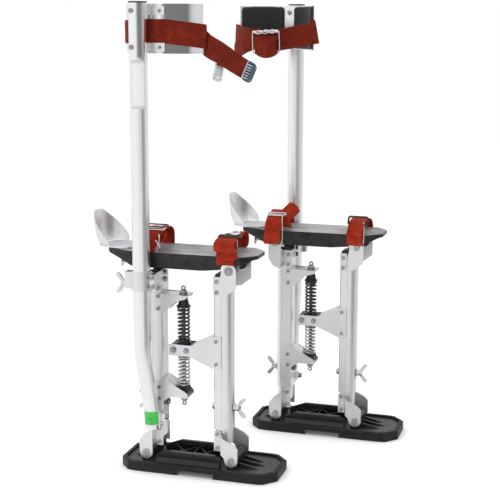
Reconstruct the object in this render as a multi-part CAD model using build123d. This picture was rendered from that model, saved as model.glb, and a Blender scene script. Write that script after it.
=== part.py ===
from build123d import *
import math
import os

# A pair of drywall stilts, right and left, standing side by side, in millimetres.
# +Z is up, +X points to the toes, +Y to the wearer's left.
# Each stilt is drawn in its own local frame: X = 0 at the heel pivots, Y = 0 on the
# centre plane, the outer side of the leg at -Y, the floor at Z = 0.
# The left stilt is the mirror of that frame.

STILT_PLACES = {"right": (-173.5, -157.0), "left": (14.5, 157.0)}   # x, y of each frame
SIDES = (-1, 1)                # outer and inner side of a stilt

# linkage
PIVOT_GAP = 183.0              # heel pivot to toe pivot
PIVOTS_X = (0.0, PIVOT_GAP)
ANKLE_Z = 33.6                 # lower pivots
FOOT_PIVOT_Z = 428.0           # upper pivots
PIN_R = 4.0
BORE_R = 4.05                  # running bore
FREE_BORE_R = 4.6              # looser bore of the upper toe pivot

# struts (outer tubes) and extensions (inner tubes)
STRUT_HALF_W = 18.0
STRUT_WALL = 2.2
TUBE_GAP = 0.4                 # outer to inner tube
EXT_HALF_W = STRUT_HALF_W - STRUT_WALL - TUBE_GAP
EXT_WALL = 2.0
HEEL_SECTION = (30.0, 8.0, -6.0)      # x of flat face, groove, nose
TOE_SECTION = (140.0, 157.0, 177.0)
STRUT_Z = (90.0, 408.0)
EXT_Z = (60.0, 404.0)
LOCK_Z = 134.0                 # height-lock wing bolts
LOCK_HOLE_R = 4.3
HOLE_STEP = 50.8
HOLE_COUNT = 6

# bolted sheet parts, ranges of |Y|
LOWER_EAR_Y = (38.0, 41.0)
UPPER_EAR_Y = (50.0, 53.0)
FLANGE_Y = (18.0, 20.5)
FLANGE_BOLT_R = 2.4
STRUT_BOLT_TIP = 15.85         # |Y| where bolts into a strut end
ANKLE_BOLT_TIP = 13.5          # |Y| where bolts into an extension end

# footplate
PLATE_TOP = 457.0
PLATE_T = 3.0
PLATE_HALF_W = 54.0
PLATE_X = (-82.0, 234.0)
STUD_X = -55.0                 # stud of the heel cup

# leg tube
TUBE_X, TUBE_Y = 10.5, -77.0
TUBE_R = 17.5
TUBE_BORE_R = 16.15
TUBE_Z = (283.0, 941.0)


# ---------------------------------------------------------------- helpers
def block(x0, x1, y0, y1, z0, z1):
    middle = Pos((x0 + x1) / 2, (y0 + y1) / 2, (z0 + z1) / 2)
    return middle * Box(abs(x1 - x0), abs(y1 - y0), abs(z1 - z0))


def rod_z(x, y, radius, z0, z1):
    return Pos(x, y, (z0 + z1) / 2) * Cylinder(radius, z1 - z0)


def rod_y(x, z, radius, y0, y1):
    return Pos(x, (y0 + y1) / 2, z) * Rot(90, 0, 0) * Cylinder(radius, abs(y1 - y0))


def rod_x(y, z, radius, x0, x1):
    return Pos((x0 + x1) / 2, y, z) * Rot(0, 90, 0) * Cylinder(radius, abs(x1 - x0))


def polygon_face(points):
    return make_face(Polyline(*points, close=True))


def prism_x(points, x0, x1):
    """Prism along X from (y, z) points."""
    low, high = min(x0, x1), max(x0, x1)
    face = polygon_face([(low, y, z) for y, z in points])
    return extrude(face, amount=high - low, dir=(1, 0, 0))


def prism_y(points, y0, y1):
    """Prism along Y from (x, z) points."""
    low, high = min(y0, y1), max(y0, y1)
    face = polygon_face([(x, low, z) for x, z in points])
    return extrude(face, amount=high - low, dir=(0, 1, 0))


def prism_z(points, z0, z1):
    """Prism along Z from (x, y) points."""
    face = polygon_face([(x, y, z0) for x, y in points])
    return extrude(face, amount=z1 - z0, dir=(0, 0, 1))


def arc_points(centre_a, centre_b, radius, degrees):
    return [(centre_a + radius * math.cos(math.radians(d)),
             centre_b + radius * math.sin(math.radians(d))) for d in degrees]


def hexagon(centre_a, centre_b, across_flats, start=0):
    return arc_points(centre_a, centre_b, across_flats / math.sqrt(3),
                      range(start, start + 360, 60))


def hex_x(y, z, across_flats, x0, x1):
    return prism_x(hexagon(y, z, across_flats), x0, x1)


def hex_y(x, z, across_flats, y0, y1):
    return prism_y(hexagon(x, z, across_flats, start=15), y0, y1)


def hex_z(x, y, across_flats, z0, z1):
    return prism_z(hexagon(x, y, across_flats), z0, z1)


def mirrored_outline(half):
    """Close an outline given by its -Y half."""
    return half + [(x, -y) for x, y in reversed(half)]


def fuse(shapes):
    total = shapes[0]
    for shape in shapes[1:]:
        total = total + shape
    return total


def cut(shape, tools):
    for tool in tools:
        shape = shape - tool
    return shape


def solids_of(*shapes):
    return [solid for shape in shapes for solid in shape.solids()]


def turn_about(x, y, degrees):
    """Turn about the vertical line through x, y."""
    return Location((x, y, 0)) * Location((0, 0, 0), (0, 0, degrees)) * Location((-x, -y, 0))


def flange_bolt(x, z, side, tip_y, head_r, head_h):
    """Bolt along Y, its recessed round head on the flange's outer face."""
    face_y = FLANGE_Y[1]
    shank = rod_y(x, z, FLANGE_BOLT_R, side * tip_y, side * face_y)
    head = rod_y(x, z, head_r, side * face_y, side * (face_y + head_h))
    recess = rod_y(x, z, 1.4, side * (face_y + head_h - 1.2), side * (face_y + head_h + 1))
    return shank + (head - recess)


WING = ((3, 3), (12, 17), (17, 21), (22, 20), (22, 15), (14, 6), (10, 2))   # along x, up z


def wing_head(x0, direction, y, z):
    """Wing bolt head on an X-directed bolt, growing from x0."""
    hub = rod_x(y, z, 6.5, x0, x0 + direction * 11)
    wings = [prism_y([(x0 + direction * dx, z + up * dz) for dx, dz in WING], y - 1.6, y + 1.6)
             for up in (1, -1)]
    return hub + fuse(wings)


# ---------------------------------------------------------------- sole and floor plate
SOLE_X = (-54.0, 280.0)
SOLE_HALF_W = 64.5
SOLE_TOP = 20.0
SOLE_CHAMFER = 1.5
TRAY_FLOOR = 12.0
NOTCH_X = (73.0, 154.0)
NOTCH_H = 10.0
PLATE_BED_Z = 15.5             # walls and bosses start just inside the 16 mm high base


def sole_outline(inset):
    x0, x1, half_w = SOLE_X[0] + inset, SOLE_X[1] - inset, SOLE_HALF_W - inset
    corner = 26.0 - inset * 0.5
    return mirrored_outline([
        (x0, -half_w + corner), (x0 + corner * 0.8, -half_w + 3),
        (x0 + corner * 1.4, -half_w), (x1 - corner * 1.5, -half_w),
        (x1 - corner * 0.9, -half_w + 2.5), (x1, -half_w + corner * 1.1)])


def sole():
    """Rubber tray with a rim, an arched notch and grooves across the treads."""
    body = prism_z(sole_outline(0), 0, SOLE_TOP - SOLE_CHAMFER)
    body = body + prism_z(sole_outline(SOLE_CHAMFER), SOLE_TOP - SOLE_CHAMFER, SOLE_TOP)
    body = body - prism_z(sole_outline(9.0), TRAY_FLOOR, SOLE_TOP + 1)
    body = body - prism_y([(NOTCH_X[0] + 3, -1), (NOTCH_X[0], NOTCH_H),
                           (NOTCH_X[1], NOTCH_H), (NOTCH_X[1] - 3, -1)], -80, 80)
    for first_x in (-38, 172):
        for i in range(5):
            x = first_x + 22 * i
            body = body - block(x, x + 4, -48, 48, -1, 2.5)
    return solids_of(body)


WALL_SIDE = [(16, 15.5), (16, 25), (24, 30), (50, 40), (146, 40), (158, 34), (160, 15.5)]  # x, z
WALL_LIP = [(50, 37.5), (50, 40), (146, 40), (146, 37.5)]                                 # x, z
# x of the tall end, z of its top, x of the pointed end, y range
GUSSETS = ((194, 26, 240, -24, -20), (194, 26, 240, 20, 24), (192, 26, 250, -2, 2),
           (-10, 24, -34, -16, -12), (-10, 24, -34, 12, 16))


def plate_wall(side):
    wall = prism_y(WALL_SIDE, side * 31, side * 35)
    return wall + prism_x([(side * 35, PLATE_BED_Z), (side * 35, 24),
                           (side * 43.5, PLATE_BED_Z)], 20, 158)


def cross_ribs():
    """Two X-shaped rib pairs between the walls, with a straight rib where they meet."""
    middle_x, rib_half_t, rib_top = 92, 1.3, 30
    ribs = []
    for x0, x1 in ((42, middle_x), (middle_x, 142)):
        for side in SIDES:
            angle = math.atan2(60 * side, x1 - x0)
            dx, dy = -math.sin(angle) * rib_half_t, math.cos(angle) * rib_half_t
            y = 30 * side
            ribs.append(prism_z([(x0 + dx, -y + dy), (x1 + dx, y + dy),
                                 (x1 - dx, y - dy), (x0 - dx, -y - dy)], PLATE_BED_Z, rib_top))
    ribs.append(block(middle_x - 1.2, middle_x + 1.2, -31, 31, PLATE_BED_Z, rib_top))
    return fuse(ribs) & block(38, 146, -31.5, 31.5, 10, 40)


def floor_plate():
    """Plate in the tray with side walls, X ribs, pivot bosses and gussets."""
    base = prism_z(sole_outline(9.4), TRAY_FLOOR, 16.0)
    walls = fuse([plate_wall(side) for side in SIDES]
                 + [prism_y(WALL_LIP, side * 31, side * 38) for side in SIDES])
    boss_r, boss_y = 10, 37.6
    bosses = fuse([block(x - boss_r, x + boss_r, -boss_y, boss_y, PLATE_BED_Z, ANKLE_Z)
                   + rod_y(x, ANKLE_Z, boss_r, -boss_y, boss_y) for x in PIVOTS_X])
    gussets = fuse([prism_y([(x, PLATE_BED_Z), (x, top), (tip_x, PLATE_BED_Z)], y0, y1)
                    for x, top, tip_x, y0, y1 in GUSSETS])
    plate = base + walls + cross_ribs() + bosses + gussets
    return solids_of(cut(plate, [rod_y(x, ANKLE_Z, BORE_R, -60, 60) for x in PIVOTS_X]))


# ---------------------------------------------------------------- struts and extensions
def nose_direction(section):
    return 1 if section[2] > section[0] else -1


def d_face(section, half_w, z):
    """D-shaped section: flat end with small chamfers, superellipse nose."""
    flat_x, groove_x, nose_x = section
    direction = nose_direction(section)
    chamfer = 2.0
    length = abs(nose_x - groove_x)
    nose = []
    for i in range(25):
        angle = math.radians(-90 + 180 * i / 24)
        cosine, sine = math.cos(angle), math.sin(angle)
        nose.append((groove_x + direction * length * (abs(cosine) ** 0.75),
                     half_w * (1 if sine > 0 else -1) * (abs(sine) ** 0.8), z))
    corner_x = flat_x + direction * chamfer
    return polygon_face([(flat_x, -half_w + chamfer, z), (corner_x, -half_w, z)] + nose
                        + [(corner_x, half_w, z), (flat_x, half_w - chamfer, z)])


def inset_section(section, inset):
    direction = nose_direction(section)
    return (section[0] + direction * inset, section[1], section[2] - direction * inset)


def d_tube(section, half_w, wall, z0, z1):
    outer = extrude(d_face(section, half_w, z0), amount=z1 - z0, dir=(0, 0, 1))
    inner_face = d_face(inset_section(section, wall), half_w - wall, z0 - 1)
    return outer - extrude(inner_face, amount=z1 - z0 + 2, dir=(0, 0, 1))


def extension_tube(section):
    """Inner tube with its row of height holes."""
    tube = d_tube(inset_section(section, STRUT_WALL + TUBE_GAP), EXT_HALF_W, EXT_WALL, *EXT_Z)
    for k in range(HOLE_COUNT):
        tube = tube - rod_x(0, LOCK_Z + k * HOLE_STEP, LOCK_HOLE_R,
                            section[2] - 60, section[2] + 60)
    return tube


def strut_tube(section):
    """Outer tube with a groove down each side and the wing bolt holes."""
    tube = d_tube(section, STRUT_HALF_W, STRUT_WALL, *STRUT_Z)
    for side in SIDES:
        tube = tube - block(section[1] - 0.7, section[1] + 0.7, side * (STRUT_HALF_W - 0.9),
                            side * (STRUT_HALF_W + 1), STRUT_Z[0] + 8, STRUT_Z[1] + 1)
    return tube - rod_x(0, LOCK_Z, LOCK_HOLE_R, min(section) - 2, max(section) + 2)


# ---------------------------------------------------------------- pivot plates
# Of each joint:
#   direction  +1 when the flange lies towards +X of the pivot
#   flange     start, end and bolt line, distances from the pivot along direction
#   joggle     overlap past the flange start, setback of the ear end, setback of the root
#   joggle_z   z range of the joggle
#   arc        degrees of the rounded ear end
#   corners    remaining ear corners, x from the pivot and z
ANKLE_JOINTS = {
    "heel": dict(
        pivot_x=0.0, direction=1, flange=(15.0, 30.0, 22.5), joggle=(0.5, 1, 2.5),
        joggle_z=(50, 86),
        corners=((14, ANKLE_Z + 16), (14, 86), (-3, 74), (-15, 58))),
    "toe": dict(
        pivot_x=PIVOT_GAP, direction=-1, flange=(27.5, 42.5, 35.0), joggle=(1, 6, 2.5),
        joggle_z=(46, 80),
        corners=((14, 59), (5, 68), (-21.5, 80), (-21.5, ANKLE_Z + 10), (-16, ANKLE_Z + 6))),
}
FOOT_JOINTS = {
    "heel": dict(
        pivot_x=0.0, direction=1, flange=(14.0, 30.0, 22.5), joggle=(1, 1, 2),
        joggle_z=(374, 408), arc=range(0, 181, 10),
        corners=((-14.5, 394), (-4, 378), (11, 372), (13.5, 409))),
    "toe": dict(
        pivot_x=PIVOT_GAP, direction=-1, flange=(27.5, 43.0, 36.0), joggle=(1, 9.5, 2),
        joggle_z=(378, 408), arc=range(0, 171, 10),
        corners=((-19, 409), (-20, 376), (-6, 378), (14.5, 394))),
}


def eared_plates(joint, pivot_z, ear_end, ear_y, flange_z, bolt_zs, tip_y):
    """Both sides' plates (ear, flange and joggle between them) and their bolts."""
    pivot_x, direction = joint["pivot_x"], joint["direction"]
    start, end, bolt_line = [pivot_x + direction * v for v in joint["flange"]]
    overlap, setback, root = [direction * v for v in joint["joggle"]]
    ear_x = start - setback
    ear_back_x = ear_x - direction * 3
    ear = ear_end + [(pivot_x + x, z) for x, z in joint["corners"]]
    plates, bolts = [], []
    for side in SIDES:
        ear_in, ear_out = side * ear_y[0], side * ear_y[1]
        flange_in, flange_out = side * FLANGE_Y[0], side * FLANGE_Y[1]
        plate = prism_y(ear, ear_in, ear_out)
        plate = plate + block(start, end, flange_in, flange_out, *flange_z)
        plate = plate + prism_z([
            (start + overlap, flange_in), (start + overlap, flange_out), (ear_x, ear_out),
            (ear_back_x, ear_out), (ear_back_x, ear_in), (start - root, flange_in)],
            *joint["joggle_z"])
        side_bolts = [flange_bolt(bolt_line, z, side, tip_y, 4.2, 2.4) for z in bolt_zs]
        plate = cut(plate, side_bolts)
        plates.append(plate - rod_y(pivot_x, pivot_z, PIN_R, -60, 60))
        bolts += side_bolts
    return plates, bolts


def ankle_plates(joint, extension):
    """Lower plates with pads, bolts and pin. Also returns the drilled extension."""
    pivot_x, direction = joint["pivot_x"], joint["direction"]
    ear_r, pad_z = 14, (62, 86)
    ear_end = ([(pivot_x - ear_r, ANKLE_Z)]
               + arc_points(pivot_x, ANKLE_Z, ear_r, range(190, 351, 10))
               + [(pivot_x + ear_r, ANKLE_Z)])
    plates, bolts = eared_plates(joint, ANKLE_Z, ear_end, LOWER_EAR_Y, (44, 86),
                                 (51.5, 80.5), ANKLE_BOLT_TIP)
    # pads fill the space between flange and inner tube, below the outer tube
    pad_x0 = pivot_x + direction * (joint["flange"][0] + 2)
    pad_x1 = pivot_x + direction * (joint["flange"][1] - 1.2)
    pads = [cut(block(pad_x0, pad_x1, side * EXT_HALF_W, side * FLANGE_Y[0], *pad_z), bolts)
            for side in SIDES]
    end_y = LOWER_EAR_Y[1]
    pin = (rod_y(pivot_x, ANKLE_Z, PIN_R, -end_y, end_y)
           + rod_y(pivot_x, ANKLE_Z, 6.8, -end_y - 2.6, -end_y)
           + hex_y(pivot_x, ANKLE_Z, 12, end_y, end_y + 4.5))
    pin = pin - rod_y(pivot_x, ANKLE_Z, 2.2, -end_y - 3, -end_y - 1)
    return solids_of(*plates, *pads, *bolts, pin), cut(extension, bolts)


def foot_pivot_plates(joint, strut):
    """Upper plates with bolts, pin and strut plug. Also returns the drilled strut."""
    pivot_x, direction = joint["pivot_x"], joint["direction"]
    ear_end = arc_points(pivot_x, FOOT_PIVOT_Z, 14.5, joint["arc"])
    plates, bolts = eared_plates(joint, FOOT_PIVOT_Z, ear_end, UPPER_EAR_Y, (369, 408),
                                 (376.0, 398.0), STRUT_BOLT_TIP)
    end_y = UPPER_EAR_Y[1]
    pin = (rod_y(pivot_x, FOOT_PIVOT_Z, PIN_R, -end_y, end_y)
           + rod_y(pivot_x, FOOT_PIVOT_Z, 9.0, -end_y - 1.2, -end_y)
           + hex_y(pivot_x, FOOT_PIVOT_Z, 11, -end_y - 2.9, -end_y - 1.1)
           + hex_y(pivot_x, FOOT_PIVOT_Z, 12, end_y, end_y + 2.9))
    strut = cut(strut, bolts)

    # plug in the strut's top end, its top sloping
    def along(distance):
        return pivot_x + direction * distance
    start, end, _ = joint["flange"]
    plug_y = STRUT_HALF_W - 2.4
    plug = block(along(end - 2.5), along(start - 3), -plug_y, plug_y, 404.5, 418)
    plug = plug - prism_y([(along(end + 6), 409.5), (along(end + 6), 425),
                           (along(start - 6), 425), (along(start - 3), 418)], -30, 30)
    return solids_of(*plates, *bolts, pin, plug - strut), strut


# ---------------------------------------------------------------- spring line
SPRING_X = 70.0
# side outlines of the folded channels, x and z
UPPER_BRACKET = [(12, 327), (30, 327), (36, 328), (60, 351), (80, 357), (84, 361),
                 (84, 364.5), (60, 365), (30, 366.5), (12, 366.5)]
LOWER_BRACKET = [(12, 138), (30, 138), (46, 150), (84, 150), (84, 157), (78, 163),
                 (51, 177), (34, 187.5), (30, 188), (12, 180)]
LOWER_BRACKET_WEB = [(30.1, 184.6), (30.1, 187.6), (34, 187.5), (49, 177), (54, 168.5),
                     (57, 153), (84, 153), (84, 150), (54, 150), (51, 166), (47, 173.5),
                     (33, 184)]
YOKE_SIDE = [(44.5, 238.5), (44.5, 262.0), (92, 262.0), (139, 285.0), (156, 285.0),
             (156, 217.0), (139, 217.0), (88, 238.5)]
YOKE_WEB = [(92, 262.0), (139, 285.0), (139, 282.6), (92, 259.5)]
YOKE_IN_Y = 18.3               # |Y| of the yoke plates' inner faces
BLOCK_Z = (238.5, 260.5)
GUIDE_Z = 250.5
GUIDE_BOLTS = ((54.0, 5.2), (81.5, 4.2))      # x, head size
YOKE_SLOT_R = 3.25
YOKE_SLOT_SHIFT = 2.4


def spring_rod_z(radius, z0, z1):
    """Cylinder on the spring line."""
    return rod_z(SPRING_X, 0, radius, z0, z1)


def spring_brackets():
    """Two channels bolted to the heel strut. Returns solids and bolts."""
    upper = fuse([prism_y(UPPER_BRACKET, side * FLANGE_Y[0], side * FLANGE_Y[1])
                  for side in SIDES])
    upper = upper + block(30.05, 84, -FLANGE_Y[1], FLANGE_Y[1], 361.5, 364.5)
    lower = fuse([prism_y(LOWER_BRACKET, side * FLANGE_Y[0], side * FLANGE_Y[1])
                  for side in SIDES])
    lower = lower + prism_y(LOWER_BRACKET_WEB, -FLANGE_Y[1], FLANGE_Y[1])
    upper = upper - spring_rod_z(4.1, 340, 380)
    lower = lower - spring_rod_z(4.1, 130, 170)
    bolts = [flange_bolt(22.5, z, side, STRUT_BOLT_TIP, 4.0, 2.4)
             for side in SIDES for z in (334.5, 360.5, 144.5, 169.0)]
    return solids_of(cut(upper, bolts), cut(lower, bolts), *bolts), bolts


def ring_eye(z):
    return Pos(SPRING_X, 0, z) * Rot(90, 0, 0) * Torus(3.6, 1.6)


def spring_rod():
    """Rod with an eye at each end, two nuts and two spring seats."""
    rod = spring_rod_z(4.0, 136, 374) + ring_eye(376.5)
    rod = rod + spring_rod_z(2.4, 371, 374.5)
    rod = rod + ring_eye(133.5)
    top_nut = hex_z(SPRING_X, 0, 13, 366.0, 372.0) + spring_rod_z(9, 364.6, 366.0)
    bottom_nut = hex_z(SPRING_X, 0, 13, 140.5, 146.5) + spring_rod_z(9, 146.5, 149.9)
    hole = spring_rod_z(4.0, 100, 400)
    top_seat = spring_rod_z(14.5, 337.2, 340.0) + Pos(SPRING_X, 0, 350.6) * Cone(12.0, 7.0, 21.2)
    bottom_seat = (spring_rod_z(13.6, 167.2, 169.8)
                   + Pos(SPRING_X, 0, 160.2) * Cone(7.5, 10.5, 14.0))
    return solids_of(rod, top_nut - rod, bottom_nut - rod, top_seat - hole, bottom_seat - hole)


def spring(z0, z1, mean_r, wire_r, pitch):
    height = z1 - z0 - 2 * wire_r - 0.2
    path = Pos(SPRING_X, 0, z0 + wire_r + 0.1) * Helix(pitch=pitch, height=height, radius=mean_r)
    wire = Plane(origin=path @ 0, z_dir=path % 0) * RegularPolygon(wire_r, 10)
    return solids_of(sweep(wire, path=path, is_frenet=True))


def pivot_block():
    """Block between the springs, with a spring cup above and below and two guide bolts."""
    hole = spring_rod_z(4.6, 200, 300)
    body = block(46.5, 88.5, -15.5, 15.5, *BLOCK_Z) - hole
    top_cup = spring_rod_z(14.8, 260.6, 263.4) - hole
    bottom_cup = spring_rod_z(14.0, 235.6, 238.4) - hole
    bolts = []
    for x, head in GUIDE_BOLTS:
        bolt = rod_y(x, GUIDE_Z, 3.0, -21.2, 21.2)
        for side in SIDES:
            bolt = bolt + rod_y(x, GUIDE_Z, head + 1.6, side * 21.0, side * 21.8)
            bolt = bolt + hex_y(x, GUIDE_Z, head * 1.8, side * 21.7, side * 24.6)
        bolts.append(bolt)
    return solids_of(cut(body, bolts), top_cup, bottom_cup, *bolts)


def spring_yoke():
    """Folded channel from the toe strut to the pivot block. Returns solids and bolts."""
    plates = []
    for side in SIDES:
        plate = prism_y(YOKE_SIDE, side * YOKE_IN_Y, side * FLANGE_Y[1])
        for x, _ in GUIDE_BOLTS:
            slot_end = x + YOKE_SLOT_SHIFT
            plate = cut(plate, [
                rod_y(x, GUIDE_Z, YOKE_SLOT_R, -60, 60),
                rod_y(slot_end, GUIDE_Z, YOKE_SLOT_R, -60, 60),
                block(x, slot_end, -60, 60, GUIDE_Z - YOKE_SLOT_R, GUIDE_Z + YOKE_SLOT_R)])
        plates.append(plate)
    yoke = fuse(plates) + prism_y(YOKE_WEB, -FLANGE_Y[1], FLANGE_Y[1])
    bolts = [flange_bolt(145.5, z, side, STRUT_BOLT_TIP, 3.8, 2.2)
             for side in SIDES for z in (227.0, 275.0)]
    # shims fill the small gap between yoke plates and strut
    shims = [cut(block(141.5, 155.5, side * STRUT_HALF_W, side * YOKE_IN_Y, 218, 284), bolts)
             for side in SIDES]
    return solids_of(cut(yoke, bolts), *shims, *bolts), bolts


def lock_bolt(section):
    """Height-lock bolt: a wing head at the nose and a hex end at the flat face."""
    out = nose_direction(section)
    flat_x, _, nose_x = section
    wing_end = (rod_x(0, LOCK_Z, PIN_R, nose_x - out * (STRUT_WALL + 0.1), nose_x + out * 4)
                + rod_x(0, LOCK_Z, 8.5, nose_x + out * 0.4, nose_x + out * 2.0)
                + wing_head(nose_x + out * 2.0, out, 0, LOCK_Z))
    hex_end = (rod_x(0, LOCK_Z, PIN_R, flat_x + out * (STRUT_WALL - 0.1), flat_x - out * 9)
               + hex_x(0, LOCK_Z, 13, flat_x - out * 0.3, flat_x - out * 7.0))
    return solids_of(wing_end, hex_end)


# ---------------------------------------------------------------- leg tubes and clamp
LOW_TUBE_R = 16.0
LOW_TUBE_WALL = 2.2
BEND_TOP_Z = 282.0
FOOT_BOLT = (14.0, 107.0)      # x, z


def leg_rod(radius, z0, z1):
    """Cylinder on the leg tube's axis."""
    return rod_z(TUBE_X, TUBE_Y, radius, z0, z1)


def lower_leg_tube():
    """Tube from the strut's foot, bending outward and up into the upper tube."""
    path = Spline((14.0, -39.5, 88.0), (13.8, -41.5, 118.0), (12.2, -58.0, 185.0),
                  (TUBE_X, TUBE_Y + 1.5, 250.0), (TUBE_X, TUBE_Y, BEND_TOP_Z),
                  tangents=((0, -0.04, 1), (0, 0, 1)))
    disc = Plane(origin=path @ 0, z_dir=path % 0) * Circle(LOW_TUBE_R)
    tube = sweep(disc, path=path) + leg_rod(LOW_TUBE_R, BEND_TOP_Z, 432.0)
    tube = tube - leg_rod(LOW_TUBE_R - LOW_TUBE_WALL, 270.0, 440.0)
    saddle = block(3, 25, -30, -18.0, 96, 118) - tube
    tube = tube - rod_y(*FOOT_BOLT, 3.2, -80, -10)
    bolt = rod_y(*FOOT_BOLT, 3.2, -59.5, -18.2)
    bolt = bolt + (rod_y(*FOOT_BOLT, 6.5, -62.0, -59.0) - rod_y(*FOOT_BOLT, 2.0, -63, -61))
    tube = tube - bolt
    saddle = saddle - bolt
    # clip beside the saddle, with a nut on its +X end
    clip = block(29.5, 38.0, -30.0, -21.2, 100, 116) - tube
    bridge = block(24.0, 29.6, -30.0, -21.0, 100, 116) - tube
    nut = hex_x(-25.5, 108.0, 9.5, 38.0, 44.0)
    return solids_of(tube, saddle + bridge + clip, nut, bolt)


CLAMP_SCREW_Y = TUBE_Y + 6.0
CLAMP_SCREW_Z = 395.0


def tube_clamp():
    """Split ring round the upper tube, with an arm on the heel strut's flat face.
    Returns solids and the arm's bolts."""
    tube_space = leg_rod(TUBE_R + 0.06, 380, 430)
    ring = leg_rod(TUBE_R + 3.1, 386, 424) - tube_space
    ring = ring & block(-60, 90, -120, -56.6, 380, 430)
    rear_lug = block(-22, -7.2, -86, -68, 388, 422) - tube_space
    front_lug = block(27.0, 40.0, -84, -70, 388, 418) - tube_space
    clamp = ring + rear_lug + front_lug + block(30.05, 33.5, -72, -2, 388, 416)
    clamp = clamp - block(-30, -8, -77.9, -76.1, 380, 430)
    clamp = clamp - rod_x(CLAMP_SCREW_Y, CLAMP_SCREW_Z, 2.6, -25, -14)
    arm_bolts = [hex_x(-9.0, z, 9.5, 33.5, 37.5) + rod_x(-9.0, z, 2.5, 27.9, 33.6)
                 for z in (395.0, 409.0)]
    lug_bolts = [rod_y(35.5, z, 2.4, -86.5, -67.5) + hex_y(35.5, z, 8.0, -89.5, -84.0)
                 + hex_y(35.5, z, 8.0, -70.0, -66.0) for z in (394.0, 412.0)]
    bolts = arm_bolts + lug_bolts
    return solids_of(cut(clamp, bolts), *bolts), arm_bolts


def clamp_wing_bolt():
    shank = rod_x(CLAMP_SCREW_Y, CLAMP_SCREW_Z, 2.5, -32, -14.3)
    collar = rod_x(CLAMP_SCREW_Y, CLAMP_SCREW_Z, 6.0, -24.0, -22.3)
    return solids_of(shank + collar + wing_head(-24.0, -1, CLAMP_SCREW_Y, CLAMP_SCREW_Z))


def upper_leg_tube():
    """Upper tube with its end cap."""
    tube = leg_rod(TUBE_R, *TUBE_Z) - leg_rod(TUBE_BORE_R, TUBE_Z[0] - 1, TUBE_Z[1] + 1)
    cap = (leg_rod(TUBE_R + 0.4, TUBE_Z[1], TUBE_Z[1] + 2.6)
           + leg_rod(TUBE_BORE_R - 0.02, TUBE_Z[1] - 16, TUBE_Z[1]))
    return solids_of(tube, cap)


# ---------------------------------------------------------------- footplate
# space below the skirts' sloping lower edges, x and z
HEEL_TAPER = [(-100, 420), (-100, 452), (-72, 445.5), (-45, 437), (-27, 430.5), (-14, 425),
              (-12, 420)]
TOE_TAPER = [(260, 420), (260, 451.5), (228, 449), (205, 440), (176, 431), (128, 426),
             (110, 420)]
PLATE_SCREWS = ((150, -30), (150, 30), (220, -14), (220, 14))    # x, y
LUG_R = 11.5
LUG_Y = 49.8
WINDOW_Y = (49.9, 60)


def footplate_outline(inset):
    half_w = PLATE_HALF_W - inset
    x0, x1 = PLATE_X[0] + inset, PLATE_X[1] - inset
    return mirrored_outline([
        (x0, -24), (x0 + 6, -31 + inset * 0.3), (x0 + 22, -38 + inset * 0.6),
        (-26, -half_w), (206, -half_w), (x1 - 12, -half_w + 14), (x1, -half_w + 30)])


def footplate():
    """Plate with tapering skirts, pivot lugs, heel cup slot and four screws."""
    under = PLATE_TOP - PLATE_T
    top = prism_z(footplate_outline(0), under, PLATE_TOP)
    skirt = (prism_z(footplate_outline(0), 426.0, PLATE_TOP - 1)
             - prism_z(footplate_outline(2.0), 420.0, under))
    skirt = skirt - (prism_y(HEEL_TAPER, -80, 80) + prism_y(TOE_TAPER, -80, 80))
    plate = top + skirt
    lugs = fuse([rod_y(x, FOOT_PIVOT_Z, LUG_R, -LUG_Y, LUG_Y)
                 + block(x - LUG_R, x + LUG_R, -LUG_Y, LUG_Y, FOOT_PIVOT_Z, PLATE_TOP - 1)
                 for x in PIVOTS_X])
    # windows in the skirts for the strut ears
    for x in PIVOTS_X:
        plate = cut(plate, [rod_y(x, FOOT_PIVOT_Z, 16.6, side * WINDOW_Y[0], side * WINDOW_Y[1])
                            for side in SIDES])
        plate = cut(plate, [block(x - 17.6, x + 17.6, side * WINDOW_Y[0], side * WINDOW_Y[1],
                                  415, FOOT_PIVOT_Z) for side in SIDES])
    plate = plate + lugs
    # hollow out the middle of each lug
    plate = cut(plate, [block(x - 13, x + 13, -30, 30, 410, 452) for x in PIVOTS_X])
    for x, radius in zip(PIVOTS_X, (BORE_R, FREE_BORE_R)):
        plate = plate - rod_y(x, FOOT_PIVOT_Z, radius, -60, 60)
    # slot for the heel cup's stud
    slot_x0, slot_x1, slot_r = -68, -34, 4.3
    plate = plate - block(slot_x0, slot_x1, -slot_r, slot_r, 440, 470)
    plate = cut(plate, [rod_z(x, 0, slot_r, 440, 470) for x in (slot_x0, slot_x1)])
    screws = [rod_z(x, y, 3.0, 453, PLATE_TOP) + rod_z(x, y, 4.0, 456.2, 457.6)
              for x, y in PLATE_SCREWS]
    return solids_of(cut(plate, screws), *screws)


# ---------------------------------------------------------------- heel cup
CUP_X = -72.0                  # axis of the cup's back wall
CUP_YAW = 8.0
CUP_BASE = [(-104, -20), (-96, -32), (-80, -38), (-44, -38), (-30, -32), (-24, -18), (-23, 0),
            (-24, 18), (-30, 32), (-44, 38), (-80, 38), (-96, 32), (-104, 20)]     # x, y
# wall section, radius from the cup axis and z
CUP_WALL = [(30, 457.9), (37, 460.2), (42, 469), (45.5, 482), (47.5, 500), (49, 527),
            (46.6, 527), (45.1, 500), (43.1, 482), (39.6, 470.3), (35, 462.6), (30, 460.9)]
# region of the revolved wall that remains, x and z
CUP_KEEP = [(-130, 450), (-130, 533), (-119, 527.5), (-107, 511), (-89, 491), (-73, 473),
            (-69.5, 467), (-69.5, 450)]
NUT_WING = ((4, 426), (14, 419), (20, 417), (22, 421), (21, 427), (12, 434), (4, 438))  # |y|, z


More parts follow.
